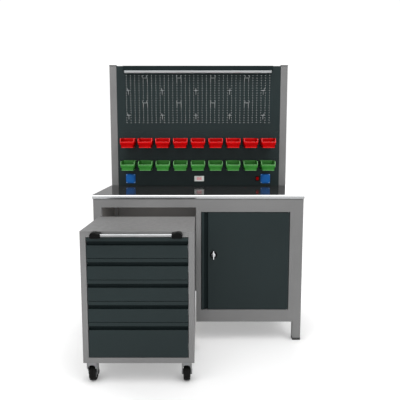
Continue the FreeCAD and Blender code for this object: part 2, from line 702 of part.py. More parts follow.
def make_bin_panel():
    """Plain folded panel behind the bins, with cut-outs for the fittings."""
    body = channel("YZ", "panel_return", "bin_panel_top - rail_top", "sheet_thick",
                   "2 * inner_half")
    put(body, "-inner_half", "panel_face", "rail_top")
    gap = " + 2 * cutout_gap"
    cutouts = []
    for across in socket_places():
        cutouts.append(panel_hole("socket_box" + gap, "socket_box" + gap, across))
    cutouts.append(panel_hole("outlet_width / 2" + gap, "outlet_height / 2" + gap,
                              "outlet_offset"))
    cutouts.append(panel_hole("switch_width - 2 * bezel_rim" + gap,
                              "switch_height - 2 * bezel_rim" + gap, "switch_offset"))
    node("bin_panel", cut(body, *cutouts))


def panel_hole(width, height, across):
    return block(width, "sheet_thick", height, "%s - (%s) / 2" % (across, width), "panel_face",
                 "fitting_height - (%s) / 2" % height)


def bent_wire(points, radius):
    """Round wire along straight runs, with a ball at each bend."""
    runs = [Part.makeCylinder(radius, (b - a).Length, a, b - a)
            for a, b in zip(points, points[1:])]
    bends = [Part.makeSphere(radius, p) for p in points[1:-1]]
    return runs[0].fuse(runs[1:] + bends)


def hook_shape(stems):
    """A wire hook: a bar whose ends pass through two holes, and a stem and a prong
    at each of the places named in stems, from -1 (left end) to 1 (right end)."""
    wire = number("hook_wire")
    half = number("peg_pitch_across") / 2
    front = -wire - number("seat_gap")
    tail = number("hook_tail") + front
    shape = bent_wire([Vector(-half, tail, 0), Vector(-half, front, 0), Vector(half, front, 0),
                       Vector(half, tail, 0)], wire)
    reach = front - number("hook_reach")
    for place_on_bar in stems:
        x = place_on_bar * half
        prong = bent_wire([Vector(x, front, -number("hook_stem")), Vector(x, front, 0),
                           Vector(x, reach, 0), Vector(x, reach, number("hook_tip"))], wire)
        shape = shape.fuse(prong)
    return shape


def hang_hooks(name, stems, first_column, heights):
    """Hooks at every eighth pair of columns from the first, in rows at the given shares of
    the way down the holes."""
    master = hook_shape(stems)
    columns = int(number("peg_columns"))
    last_row = int(number("peg_rows")) - 1
    spots = peg_spots()
    hooks = []
    for row in [round(share * last_row) for share in heights]:
        for column in range(first_column, columns - 1, HOOK_COLUMNS):
            x, z = spots[row * columns + column]
            middle = x + number("peg_pitch_across") / 2
            hook = master.copy()
            hook.translate(Vector(middle, number("panel_face"), z))
            hooks.append(hook)
    node(name, shape_feature(name, Part.makeCompound(hooks)))


HOOK_COLUMNS = 8


def make_bin(name, up):
    """A row of open-fronted bins hung on their rail."""
    wide = "bin_width"
    lower = "bin_width - 2 * bin_taper"
    wall = "2 * bin_wall"
    tub = fuse(
        block(wide, "bin_length", "bin_height - bin_step", "0", "0", "bin_step"),
        block(lower, "bin_length - bin_taper", "bin_step", "bin_taper", "bin_taper"))
    upper_hollow = block("bin_width - " + wall, "bin_length - " + wall,
                         "bin_height - bin_step - bin_wall", "bin_wall", "bin_wall",
                         "bin_step + bin_wall")
    lower_hollow = block(lower + " - " + wall, "bin_length - bin_taper - " + wall,
                         "bin_step", "bin_taper + bin_wall", "bin_taper + bin_wall",
                         "bin_wall")
    scoop = profile("YZ", (("0", "0"), ("bin_scoop", "bin_height - bin_lip"),
                           ("0", "bin_height - bin_lip")), wide)
    put(scoop, "0", "0", "bin_lip")
    hook_across = "(bin_width - bin_hook_width) / 2"
    lip_room = "sheet_thick + 2 * seat_gap"
    hook = fuse(
        block("bin_hook_width", lip_room + " + 2 * bin_wall", "bin_wall", hook_across,
              "bin_length - bin_wall", "bin_height - bin_wall"),
        block("bin_hook_width", "bin_wall", "bin_hook_drop + bin_wall", hook_across,
              "bin_length + " + lip_room, "bin_height - bin_wall - bin_hook_drop"))
    master = fuse(cut(tub, upper_hollow, lower_hollow, scoop), hook)
    doc.recompute()
    count = int(number("bin_columns"))
    first = number("fittings_shift") - ((count - 1) * number("bin_pitch") + number("bin_width")) / 2
    bins = []
    for i in range(count):
        copy = master.Shape.copy()
        copy.translate(Vector(first + i * number("bin_pitch"), number("bin_front"), number(up)))
        bins.append(copy)
    node(name, shape_feature(name, Part.makeCompound(bins)))


def make_bin_rails():
    rails = []
    for up in ("red_bin_height", "green_bin_height"):
        rail = profile("YZ", (("0", "0"), ("rail_reach", "0"), ("rail_reach", "rail_back"),
                              ("rail_reach - sheet_thick", "rail_back"),
                              ("rail_reach - sheet_thick", "sheet_thick"),
                              ("sheet_thick", "sheet_thick"), ("sheet_thick", "rail_lip"),
                              ("0", "rail_lip")), "rail_length")
        rails.append(put(rail, "-rail_length / 2", "panel_face - rail_reach",
                         up + " + rail_below_bin"))
    node("bin_rails", group(*rails))


def make_lamp():
    hood_length = "lamp_length + 2 * hood_margin"
    hood = channel("YZ", "hood_reach", "hood_height", "sheet_thick", hood_length)
    node("lamp_hood", put(hood, "fittings_shift - (%s) / 2" % hood_length, "lamp_front",
                          "hood_bottom"))
    lamp_left = "fittings_shift - lamp_length / 2"
    lamp_up = "hood_bottom - lamp_height"
    body_front = "lamp_front + diffuser_depth"
    body = cut(block("lamp_length", "lamp_depth", "lamp_height", lamp_left, body_front, lamp_up),
               block("lamp_length - 4 * sheet_thick", "lamp_depth - sheet_thick",
                     "lamp_height - 2 * sheet_thick", lamp_left + " + 2 * sheet_thick",
                     body_front, lamp_up + " + sheet_thick"))
    node("lamp_body", body)
    bar = block("lamp_length", "diffuser_depth", "lamp_height", lamp_left, "lamp_front", lamp_up)
    tongue = block("lamp_length - 4 * sheet_thick - 2 * plug_gap", "sheet_thick * 2",
                   "lamp_height - 2 * sheet_thick - 2 * plug_gap",
                   lamp_left + " + 2 * sheet_thick + plug_gap", body_front,
                   lamp_up + " + sheet_thick + plug_gap")
    node("lamp_diffuser", fuse(bar, tongue))


# Sockets, outlet and switch

def socket_places():
    return ["fittings_shift %s socket_spread / 2" % sign for sign in "-+"]


def fitting(width, depth, height, middle, deep, rise="0"):
    """A block centred on a fitting's middle, its front at a distance before the panel."""
    return block(width, depth, height, "%s - (%s) / 2" % (middle, width),
                 "panel_face - " + deep, "fitting_height + %s - (%s) / 2" % (rise, height))


def make_sockets():
    parts = []
    for side, middle in zip(("left", "right"), socket_places()):
        base = fuse(
            fitting("socket_side", "socket_flange", "socket_side", middle, "socket_flange"),
            fitting("collar_side", "collar_reach", "collar_side", middle,
                    "(socket_flange + collar_reach)"),
            fitting("socket_box", "socket_box_depth", "socket_box", middle, "0"))
        ears = []
        for sign in "-+":
            ear_middle = "%s %s (knuckle_length / 2 + seat_gap + ear_width / 2)" % (middle, sign)
            ears += [fitting("ear_width", "lid_axis_reach - socket_flange",
                             "2 * knuckle_radius", ear_middle, "lid_axis_reach",
                             "lid_axis_rise"),
                     rod("knuckle_radius", "ear_width", ear_middle + " - ear_width / 2",
                         "panel_face - lid_axis_reach", "fitting_height + lid_axis_rise", "x")]
        pin_length = "knuckle_length + 2 * seat_gap + 2 * ear_width"
        pin_place = ("%s - (%s) / 2" % (middle, pin_length), "panel_face - lid_axis_reach",
                     "fitting_height + lid_axis_rise", "x")
        socket = cut(fuse(base, *ears), rod("lid_pin_radius + running_gap", pin_length, *pin_place))
        parts += [socket, rod("lid_pin_radius", pin_length, *pin_place)]
        make_lid(side, middle, pin_place, pin_length)
    node("socket_bases", group(*parts))


def make_lid(side, middle, pin_place, pin_length):
    plate = fitting("lid_side", "lid_thick", "lid_side", middle,
                    "(socket_flange + collar_reach + seat_gap + lid_thick)")
    knuckle = rod("knuckle_radius", "knuckle_length", "%s - knuckle_length / 2" % middle,
                  "panel_face - lid_axis_reach", "fitting_height + lid_axis_rise", "x")
    web = fitting("knuckle_length", "knuckle_web", "knuckle_web", middle,
                  "(socket_flange + collar_reach + seat_gap + lid_thick)",
                  "(lid_side + knuckle_web) / 2")
    lid = cut(fuse(plate, web, knuckle), rod("lid_pin_radius + running_gap", pin_length, *pin_place))
    node("socket_lid_" + side, lid)


def make_outlet_and_switch():
    node("data_outlet", fuse(
        fitting("outlet_width", "outlet_thick", "outlet_height", "outlet_offset", "outlet_thick"),
        fitting("outlet_width / 2", "socket_box_depth", "outlet_height / 2", "outlet_offset", "0")))
    inner_width = "switch_width - 2 * bezel_rim"
    inner_height = "switch_height - 2 * bezel_rim"
    bezel = fuse(
        fitting("switch_width", "bezel_thick", "switch_height", "switch_offset", "bezel_thick"),
        fitting(inner_width, "switch_body_depth", inner_height, "switch_offset", "0"))
    pocket_depth = "bezel_thick + switch_body_depth - 2 * sheet_thick"
    pocket = fitting(inner_width + " - 2 * sheet_thick", pocket_depth,
                     inner_height + " - 2 * sheet_thick", "switch_offset", "bezel_thick")
    node("switch_bezel", cut(bezel, pocket))
    make_rocker()


def make_rocker():
    """Rocker with a shallow V face, pivoting about X in the middle of its bezel."""
    room = " - 2 * bezel_rim - 2 * sheet_thick - 2 * rocker_gap"
    height = "(switch_height%s)" % room
    width = "(switch_width%s)" % room
    back = "rocker_depth"
    body = profile("YZ", (("0", "0"), (back, "rocker_slope"), (back, height + " - rocker_slope"),
                          ("0", height), ("rocker_notch", height + " / 2")), width)
    node("switch_rocker", put(body, "switch_offset - %s / 2" % width,
                              "panel_face - bezel_thick - rocker_rise",
                              "fitting_height - %s / 2" % height))


# Pedestal

def make_trolley_shell():
    stile = "trolley_stile"
    fold = "trolley_fold"
    thin = "sheet_thick"
    depth = "trolley_depth - sheet_thick"
    left = profile("XY", (("0", "0"), (stile, "0"), (stile, fold), ("trolley_stile - sheet_thick", fold),
                          ("trolley_stile - sheet_thick", thin), (thin, thin), (thin, depth),
                          ("0", depth)), "shell_height")
    put(left, "trolley_left", "trolley_front", "shell_bottom")
    right = profile("XY", (("0", "0"), (stile, "0"), (stile, depth),
                           ("trolley_stile - sheet_thick", depth),
                           ("trolley_stile - sheet_thick", thin), (thin, thin), (thin, fold),
                           ("0", fold)), "shell_height")
    put(right, "trolley_left + trolley_width - trolley_stile", "trolley_front", "shell_bottom")
    node("trolley_sides", group(left, right))
    inner_left = "trolley_left + trolley_stile"
    top_sheet = block("trolley_width", "trolley_depth", thin, "trolley_left", "trolley_front",
                      "trolley_top - sheet_thick")
    header = block("drawers_width", thin, "trolley_header", inner_left, "trolley_front",
                   "drawers_top")
    header_fold = block("drawers_width", fold, thin, inner_left, "trolley_front", "drawers_top")
    node("trolley_top", fuse(top_sheet, header, header_fold))
    base_sheet = block("trolley_width", "trolley_depth", thin, "trolley_left", "trolley_front",
                       "caster_height")
    rail = block("drawers_width", thin, "trolley_rail", inner_left, "trolley_front",
                 "caster_height")
    rail_fold = block("drawers_width", fold, thin, inner_left, "trolley_front",
                      "drawers_bottom - sheet_thick")
    node("trolley_base", fuse(base_sheet, rail, rail_fold))
    node("trolley_back", block("trolley_width", thin, "shell_height", "trolley_left",
                               "trolley_back - sheet_thick", "shell_bottom"))


def make_runners():
    """Slotted posts on the side walls and the fixed rails that they carry."""
    parts = []
    post_depth = "trolley_stile - sheet_thick"
    for across in ("trolley_left + sheet_thick",
                   "trolley_left + trolley_width - trolley_stile"):
        for deep in ("trolley_front + post_setback",
                     "trolley_back - post_setback - post_width"):
            parts.append(cut(
                block(post_depth, "post_width", "shell_height", across, deep, "shell_bottom"),
                block("trolley_stile - 3 * sheet_thick", "post_width - 2 * sheet_thick",
                      "shell_height", across + " + sheet_thick", deep + " + sheet_thick",
                      "shell_bottom")))
    for bottom, height in drawer_places():
        for left in (True, False):
            rail = channel("XZ", "fixed_width", "fixed_height", "runner_thick", "runner_length")
            up = bottom + " + runner_lift - runner_thick - seat_gap"
            parts.append(put_rail(rail, left, "trolley_stile", "runner_length", up))
    node("drawer_runners", group(*parts))


def put_rail(rail, left, inset, length, up):
    """Places a runner channel at an inset from the left or the right of the pedestal."""
    if left:
        return put(rail, "trolley_left + " + inset, "tray_front + " + length, up)
    return put(rail, "trolley_left + trolley_width - (%s)" % inset, "tray_front", up, "180")


def drawer_places():
    """Bottom and height of each drawer front, from the top drawer down."""
    top = "drawers_top - drawer_gap - top_front"
    small = [("%s - %d * drawer_pitch" % (top, i + 1), "small_front")
             for i in range(int(number("small_drawers")))]
    return [(top, "top_front")] + small + [("drawers_bottom + drawer_gap", "large_front")]


def make_drawer(index, bottom, height):
    thin = "door_sheet"
    deep = "front_depth"
    inner = "front_depth - door_sheet"
    face = "%s - lip_height - groove_height" % height
    lip = "%s - lip_height" % height
    under_top = "%s - door_sheet" % height
    under_face = "%s - lip_height - groove_height - door_sheet" % height
    front = profile("YZ", ((deep, "0"), ("0", "0"), ("0", face), (inner, face),
                           (inner, under_top), (thin, under_top), (thin, lip), ("0", lip),
                           ("0", height), (deep, height), (deep, under_face),
                           (thin, under_face), (thin, thin), (deep, thin)), "front_width")
    node("drawer_%d_front" % index,
         put(front, "trolley_left + trolley_stile + drawer_gap", "trolley_front", bottom))
    tray_left = "trolley_left + trolley_stile + rail_space"
    tray_up = bottom + " + tray_lift"
    tray_height = "%s - tray_lift - tray_drop" % height
    tray = cut(block("tray_width", "tray_length", tray_height, tray_left, "tray_front", tray_up),
               block("tray_width - 2 * door_sheet", "tray_length - 2 * door_sheet",
                     tray_height + " - door_sheet", tray_left + " + door_sheet",
                     "tray_front + door_sheet", tray_up + " + door_sheet"))
    rails = []
    for left in (True, False):
        rail = channel("XZ", "moving_width", "moving_height", "runner_thick", "runner_length")
        rails.append(put_rail(rail, left, "trolley_stile + runner_thick + moving_setback",
                              "runner_length", bottom + " + runner_lift"))
    node("drawer_%d_tray" % index, group(tray, *rails))


def make_handle():
    brackets = []
    inner_spots = {"left": "trolley_left + bracket_inset + bracket_width - tube_socket",
                   "right": "trolley_left + trolley_width - bracket_inset - bracket_width"}
    tube_length = "trolley_width - 2 * bracket_inset - 2 * bracket_width + 2 * tube_socket"
    for side, socket in inner_spots.items():
        across = "trolley_left + bracket_inset"
        hump_across = across
        if side == "right":
            across = "trolley_left + trolley_width - bracket_inset - bracket_width"
            hump_across = across + " + bracket_width - hump_width"
        front = "trolley_front - handle_reach"
        low = block("bracket_width", "handle_reach", "bracket_height", across, front,
                    "bracket_bottom")
        hump = block("hump_width", "handle_reach", "bracket_hump", hump_across, front,
                     "bracket_bottom")
        rounded = [round_edges(shape, "bracket_round", bracket_edge) for shape in (low, hump)]
        socket_bore = rod("handle_radius + running_gap", "tube_socket", socket,
                          "handle_deep", "handle_up", "x")
        brackets.append(cut(fuse(*rounded), socket_bore))
    node("handle_brackets", group(*brackets))
    start = inner_spots["left"]
    node("handle_tube", cut(
        rod("handle_radius", tube_length, start, "handle_deep", "handle_up", "x"),
        rod("handle_radius - handle_wall", tube_length, start, "handle_deep", "handle_up", "x")))


def bracket_edge(edge):
    """The upper edges of a handle bracket, but for the one against the pedestal."""
    box = edge.BoundBox
    high = box.ZMin > number("bracket_bottom") + 1
    return high and box.YMin < number("trolley_front") - 1


# Casters

CASTERS = ("front_left", "front_right", "rear_left", "rear_right")


def caster_place(name):
    across = "trolley_left + caster_inset"
    if name.endswith("right"):
        across = "trolley_left + trolley_width - caster_inset"
    deep = "trolley_front + caster_setback"
    if name.startswith("rear"):
        deep = "trolley_back - caster_setback"
    return across, deep


def make_caster_plates():
    plates = []
    for name in CASTERS:
        across, deep = caster_place(name)
        plate = block("plate_side", "plate_side", "plate_thick", across + " - plate_side / 2",
                      deep + " - plate_side / 2", "caster_height - plate_thick")
        pin_bottom = "fork_top - fork_thick - seat_gap - kingpin_head_thick"
        pin = rod("kingpin_radius", "caster_height - plate_thick - (%s)" % pin_bottom,
                  across, deep, pin_bottom)
        head = rod("kingpin_head", "kingpin_head_thick", across, deep, pin_bottom)
        plates.append(fuse(plate, pin, head))
    node("caster_plates", group(*plates))


def make_caster(name):
    """Swivelling fork with its axle, and the wheel in it."""
    axle_deep = "(crown_half + trail)"
    legs = profile("YZ", (("0", "fork_top"), ("0", "fork_top - crown_skirt"),
                          (axle_deep + " - boss_half", "wheel_radius - boss_half"),
                          (axle_deep + " + boss_half", "wheel_radius - boss_half"),
                          (axle_deep + " + boss_half", "wheel_radius + boss_half"),
                          ("2 * crown_half", "fork_top")), "fork_width")
    put(legs, "-fork_width / 2", "-crown_half", "0")
    inside = block("fork_width - 2 * fork_thick", "3 * crown_half + trail",
                   "fork_top - fork_thick", "fork_thick - fork_width / 2", "-crown_half", "0")
    axle_hole = rod("axle_radius + running_gap", "fork_width", "-fork_width / 2", "trail",
                    "wheel_radius", "x")
    pin_hole = rod("kingpin_radius + running_gap", "fork_thick", "0", "0",
                   "fork_top - fork_thick")
    fork = cut(legs, inside, axle_hole, pin_hole)
    discs = [rod("axle_radius", "fork_width", "-fork_width / 2", "trail", "wheel_radius", "x")]
    guard = "(fork_width - wheel_width) / 2 - fork_thick - guard_gap"
    for radius, thick, inner in (("axle_head", "axle_head_thick", "fork_width / 2"),
                                 ("guard_radius", guard, "wheel_width / 2 + guard_gap")):
        for across in (inner, "-(%s) - (%s)" % (inner, thick)):
            discs.append(rod(radius, thick, across, "trail", "wheel_radius", "x"))
    node("caster_fork_" + name, put(group(fork, fuse(*discs)), *caster_place(name)))
    tyre = round_edges(rod("wheel_radius", "wheel_width", "-wheel_width / 2", "trail",
                           "wheel_radius", "x"), "wheel_round", rim_edge)
    recesses = []
    for across in ("-wheel_width / 2", "wheel_width / 2 - hub_recess"):
        ring = cut(rod("rim_radius", "hub_recess", across, "trail", "wheel_radius", "x"),
                   rod("wheel_hub", "hub_recess", across, "trail", "wheel_radius", "x"))
        recesses.append(ring)
    bore = rod("axle_radius + running_gap", "wheel_width", "-wheel_width / 2", "trail",
               "wheel_radius", "x")
    wheel = cut(tyre, *recesses, bore)
    node("caster_wheel_" + name, put(wheel, *caster_place(name)))


def rim_edge(edge):
    """The two round edges of a plain wheel."""
    return edge.BoundBox.ZLength > 1 and edge.BoundBox.XLength < 1


make_worktop()
make_frame()
make_lower_panels()
make_cupboard()
make_door()
make_peg_panel()
make_bin_panel()
hang_hooks("single_hooks", (0,), 0, (0.32, 0.84))
hang_hooks("double_hooks", (-1, 1), HOOK_COLUMNS // 2, (0.05, 0.58))
make_bin("red_bins", "red_bin_height")
make_bin("green_bins", "green_bin_height")
make_bin_rails()
make_lamp()
make_sockets()
make_outlet_and_switch()
make_trolley_shell()
make_runners()
for drawer, (drawer_bottom, drawer_height) in enumerate(drawer_places(), 1):
    make_drawer(drawer, drawer_bottom, drawer_height)
make_handle()
make_caster_plates()
for caster in CASTERS:
    make_caster(caster)
doc.recompute()

for obj in doc.Objects:
    if {"Invalid", "Error"} & set(obj.State):
        raise ValueError("%s failed: %s" % (obj.Label, obj.State))
os.makedirs("parts", exist_ok=True)
for name, obj in NODES.items():
    if obj.Shape.isNull() or not obj.Shape.isValid():
        raise ValueError(name + " has no valid shape")
for name, obj in NODES.items():
    obj.Shape.exportStep("parts/%s.step" % name)
print("nodes", len(NODES), "solids", sum(len(obj.Shape.Solids) for obj in NODES.values()))
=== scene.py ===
import math
import bpy
import bmesh
from mathutils import Matrix, Vector


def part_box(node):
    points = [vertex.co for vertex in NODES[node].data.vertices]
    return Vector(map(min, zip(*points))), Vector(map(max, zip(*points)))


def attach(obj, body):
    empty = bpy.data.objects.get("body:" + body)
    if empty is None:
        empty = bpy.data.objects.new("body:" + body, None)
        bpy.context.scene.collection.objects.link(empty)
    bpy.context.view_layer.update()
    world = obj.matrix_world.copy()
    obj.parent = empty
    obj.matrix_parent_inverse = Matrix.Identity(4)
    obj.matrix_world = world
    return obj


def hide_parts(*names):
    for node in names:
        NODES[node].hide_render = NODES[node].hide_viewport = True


# Workbench with a rear frame and a cupboard, and a drawer pedestal on casters.
# Pieces are built in millimetres, in the same places as the fixed frame, and scaled to
# metres when they are finished.

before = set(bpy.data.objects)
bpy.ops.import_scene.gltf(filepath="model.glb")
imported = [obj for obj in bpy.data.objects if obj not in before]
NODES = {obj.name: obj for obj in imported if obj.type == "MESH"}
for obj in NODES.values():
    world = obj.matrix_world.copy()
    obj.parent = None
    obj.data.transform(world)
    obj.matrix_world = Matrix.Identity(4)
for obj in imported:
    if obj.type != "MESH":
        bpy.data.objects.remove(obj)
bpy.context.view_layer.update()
MM = 0.001


def span(node):
    """Lowest and highest corner of a fixed node in millimetres."""
    low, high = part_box(node)
    return low / MM, high / MM


# Materials

def linear(value):
    """A part of a screen colour, 0 to 255, as an amount of light."""
    value /= 255
    return value / 12.92 if value <= 0.04045 else ((value + 0.055) / 1.055) ** 2.4


def rgb(red, green, blue):
    """A colour given as it looks on a screen, 0 to 255."""
    return (linear(red), linear(green), linear(blue), 1.0)


def toned(colour, factor, lift=0.0):
    """A colour made lighter or darker."""
    return tuple(min(1.0, part * factor + lift) for part in colour[:3]) + (1.0,)


class Shade:
    """A material and short ways to add nodes to it."""

    def __init__(self, name, roughness=0.5, metallic=0.0, **sockets):
        self.material = bpy.data.materials.new(name)
        self.material.use_nodes = True
        self.tree = self.material.node_tree
        self.bsdf = self.tree.nodes["Principled BSDF"]
        self.bsdf.inputs["Roughness"].default_value = roughness
        self.bsdf.inputs["Metallic"].default_value = metallic
        for socket, value in sockets.items():
            self.bsdf.inputs[socket.replace("_", " ")].default_value = value
        self.coordinates = self.add("ShaderNodeTexCoord").outputs["Object"]

    def add(self, kind, **settings):
        node = self.tree.nodes.new(kind)
        for name, value in settings.items():
            setattr(node, name, value)
        return node

    def join(self, source, target):
        self.tree.links.new(source, target)

    def put(self, socket, value):
        """Feeds a number or another node's output into a socket."""
        if isinstance(value, (int, float, tuple)):
            socket.default_value = value
        else:
            self.join(value, socket)

    def stretched(self, x, y, z):
        """The place on the piece, with the pattern drawn out where a factor is small."""
        mapping = self.add("ShaderNodeMapping")
        mapping.inputs["Scale"].default_value = (x, y, z)
        self.join(self.coordinates, mapping.inputs["Vector"])
        return mapping.outputs["Vector"]

    def noise(self, scale, detail, rough=0.5, vector=None):
        node = self.add("ShaderNodeTexNoise")
        node.inputs["Scale"].default_value = scale
        node.inputs["Detail"].default_value = detail
        node.inputs["Roughness"].default_value = rough
        self.join(vector or self.coordinates, node.inputs["Vector"])
        return node.outputs["Fac"]

    def spread(self, value, low, high, start=0.3, end=0.7):
        """Maps a value from start..end to low..high."""
        node = self.add("ShaderNodeMapRange")
        self.put(node.inputs["Value"], value)
        for name, number in (("From Min", start), ("From Max", end),
                             ("To Min", low), ("To Max", high)):
            node.inputs[name].default_value = number
        return node.outputs["Result"]

    def math(self, operation, a, b=0.0):
        node = self.add("ShaderNodeMath", operation=operation)
        self.put(node.inputs[0], a)
        self.put(node.inputs[1], b)
        return node.outputs[0]

    def blend(self, factor, a, b, mode="MIX"):
        node = self.add("ShaderNodeMix", data_type="RGBA", blend_type=mode)
        self.put(node.inputs["Factor"], factor)
        self.put(node.inputs["A"], a)
        self.put(node.inputs["B"], b)
        return node.outputs["Result"]

    def bump(self, height, depth, normal=None):
        """Relief of a depth in millimetres."""
        node = self.add("ShaderNodeBump")
        node.inputs["Strength"].default_value = 1.0
        node.inputs["Distance"].default_value = depth * MM
        self.put(node.inputs["Height"], height)
        if normal is not None:
            self.join(normal, node.inputs["Normal"])
        return node.outputs["Normal"]

    def edges(self, radius):
        """1 along sharp edges, 0 on flat faces."""
        bevel = self.add("ShaderNodeBevel", samples=6)
        bevel.inputs["Radius"].default_value = radius * MM
        plain = self.add("ShaderNodeNewGeometry").outputs["Normal"]
        dot = self.add("ShaderNodeVectorMath", operation="DOT_PRODUCT")
        self.join(bevel.outputs["Normal"], dot.inputs[0])
        self.join(plain, dot.inputs[1])
        return self.spread(dot.outputs["Value"], 1.0, 0.0, 0.80, 0.995)

    def finish(self, colour, roughness, normal=None):
        """Feeds the shader and gives back the material."""
        self.put(self.bsdf.inputs["Base Color"], colour)
        self.put(self.bsdf.inputs["Roughness"], roughness)
        if normal is not None:
            self.join(normal, self.bsdf.inputs["Normal"])
        return self.material


def powder_coat(name, colour, rough=0.42, grain=1.0, edge_highlight_and_wear=(150, 152, 152), specular=0.5):
    """Stoved powder paint: fine orange peel, faint handling marks, and edges lightened in
    patches, partly wear and partly painted highlight.
    """
    shade = Shade(name, rough, Specular_IOR_Level=specular)
    patches = shade.noise(2.6, 3.0)
    mottle = shade.noise(60.0, 4.0)
    base = shade.blend(shade.spread(patches, 0.0, 1.0), toned(colour, 0.90), toned(colour, 1.10))
    base = shade.blend(shade.spread(mottle, 0.0, 0.25), base, colour)
    # Edges lightened in patches: painted highlight mixed with wear.
    highlight_and_wear_mask = shade.spread(shade.noise(24.0, 5.0), 0.0, 0.55, 0.48, 0.72)
    base = shade.blend(shade.math("MULTIPLY", shade.edges(0.9), highlight_and_wear_mask), base, rgb(*edge_highlight_and_wear))
    marks = shade.noise(38.0, 6.0, 0.65, shade.stretched(1.0, 1.0, 0.35))
    gloss = shade.math("ADD", shade.spread(marks, rough - 0.05, rough + 0.07),
                       shade.spread(patches, -0.02, 0.03))
    peel = shade.bump(shade.noise(430.0, 1.5), 0.035 * grain)
    return shade.finish(base, gloss, shade.bump(shade.noise(9.0, 1.0), 0.12, peel))


def worktop_steel():
    """Dark polished steel sheet with fine brushing along its length and faint scuffs."""
    shade = Shade("worktop_steel", 0.1, 0.93, Specular_Tint=(0.42, 0.42, 0.42, 1.0))
    lines = shade.noise(260.0, 3.0, 0.6, shade.stretched(0.02, 1.0, 1.0))
    cloud = shade.noise(3.0, 4.0)
    scuffs = shade.noise(21.0, 8.0, 0.75, shade.stretched(0.3, 1.4, 1.0))
    base = shade.blend(shade.spread(cloud, 0.0, 1.0), rgb(164, 166, 167), rgb(178, 179, 180))
    gloss = shade.math("ADD", shade.spread(scuffs, 0.05, 0.11, 0.4, 0.75),
                       shade.spread(lines, 0.0, 0.035))
    return shade.finish(base, gloss, shade.bump(lines, 0.0012))


def brushed(name, colour, rough, stretch=(0.05, 1.0, 1.0), depth=0.004):
    """Drawn or ground metal with lines along one direction."""
    shade = Shade(name, rough, 1.0)
    lines = shade.noise(300.0, 3.0, 0.6, shade.stretched(*stretch))
    patches = shade.noise(14.0, 3.0)
    base = shade.blend(shade.spread(patches, 0.0, 1.0), toned(colour, 0.86), colour)
    gloss = shade.math("ADD", shade.spread(lines, rough - 0.05, rough + 0.06),
                       shade.spread(patches, -0.02, 0.03))
    return shade.finish(base, gloss, shade.bump(lines, depth))


def zinc(name, light=178):
    """Zinc-plated pressed steel with its faint crystal clouding."""
    shade = Shade(name, 0.36, 1.0)
    crystals = shade.add("ShaderNodeTexVoronoi")
    crystals.inputs["Scale"].default_value = 150.0
    shade.join(shade.coordinates, crystals.inputs["Vector"])
    flakes = crystals.outputs["Color"]
    cloud = shade.noise(11.0, 4.0)
    base = shade.blend(0.06, rgb(light, light + 1, light + 2), flakes, "OVERLAY")
    dull = rgb(light - 28, light - 27, light - 25)
    base = shade.blend(shade.spread(cloud, 0.0, 0.35), base, dull)
    gloss = shade.spread(cloud, 0.28, 0.46)
    return shade.finish(base, gloss, shade.bump(shade.noise(500.0, 2.0), 0.006))


def moulded(name, colour, rough=0.32, grain=0.02, edge_highlight_and_wear=0.0, specular=0.5):
    """Moulded plastic: slight colour flow, fine grain, and lighter edges, partly wear and partly
    painted highlight.
    """
    shade = Shade(name, rough, Specular_IOR_Level=specular)
    flow = shade.noise(17.0, 3.0)
    base = shade.blend(shade.spread(flow, 0.0, 1.0), toned(colour, 0.84), colour)
    # A lighter copy of the colour along edges: painted highlight mixed with wear.
    if edge_highlight_and_wear:
        highlight_and_wear_mask = shade.math("MULTIPLY", shade.edges(0.7), edge_highlight_and_wear)
        base = shade.blend(highlight_and_wear_mask, base, toned(colour, 1.3, 0.03))
    marks = shade.noise(46.0, 6.0, 0.7)
    gloss = shade.math("ADD", shade.spread(marks, rough - 0.05, rough + 0.08),
                       shade.spread(flow, -0.02, 0.02))
    return shade.finish(base, gloss, shade.bump(shade.noise(900.0, 1.0), grain))


def rubber():
    """Tyre rubber with floor dust on it."""
    shade = Shade("tread", 0.68, Specular_IOR_Level=0.12)
    dust = shade.noise(70.0, 6.0, 0.7)
    base = shade.blend(shade.spread(dust, 0.0, 0.06, 0.45, 0.8), rgb(7, 7, 7), rgb(90, 88, 84))
    return shade.finish(base, shade.spread(dust, 0.58, 0.85), shade.bump(dust, 0.05))


def board():
    """Glued wood board: long rings and pores along its length."""
    shade = Shade("board", 0.6)
    along = shade.stretched(0.12, 1.0, 1.0)
    wave = shade.add("ShaderNodeTexWave", wave_type="BANDS", bands_direction="Y")
    wave.inputs["Scale"].default_value = 9.0
    wave.inputs["Distortion"].default_value = 5.0
    wave.inputs["Detail"].default_value = 3.0
    shade.join(along, wave.inputs["Vector"])
    pores = shade.noise(420.0, 3.0, 0.6, along)
    base = shade.blend(wave.outputs["Fac"], rgb(176, 140, 98), rgb(206, 172, 128))
    base = shade.blend(shade.spread(pores, 0.0, 0.35, 0.5, 0.8), base, rgb(118, 86, 54))
    return shade.finish(base, shade.spread(pores, 0.5, 0.7), shade.bump(pores, 0.05))


def diffuser():
    """Frosted lamp cover, not lit."""
    shade = Shade("diffuser", 0.35)
    frost = shade.noise(240.0, 2.0)
    base = shade.blend(shade.spread(frost, 0.0, 1.0), rgb(142, 144, 146), rgb(152, 154, 156))
    return shade.finish(base, shade.spread(frost, 0.3, 0.42), shade.bump(frost, 0.01))


GREY = powder_coat("grey_paint", rgb(105, 105, 105), grain=0.6, specular=0.4)
DARK = powder_coat("dark_paint", rgb(21, 32, 33), 0.40, edge_highlight_and_wear=(66, 74, 76), specular=0.2)
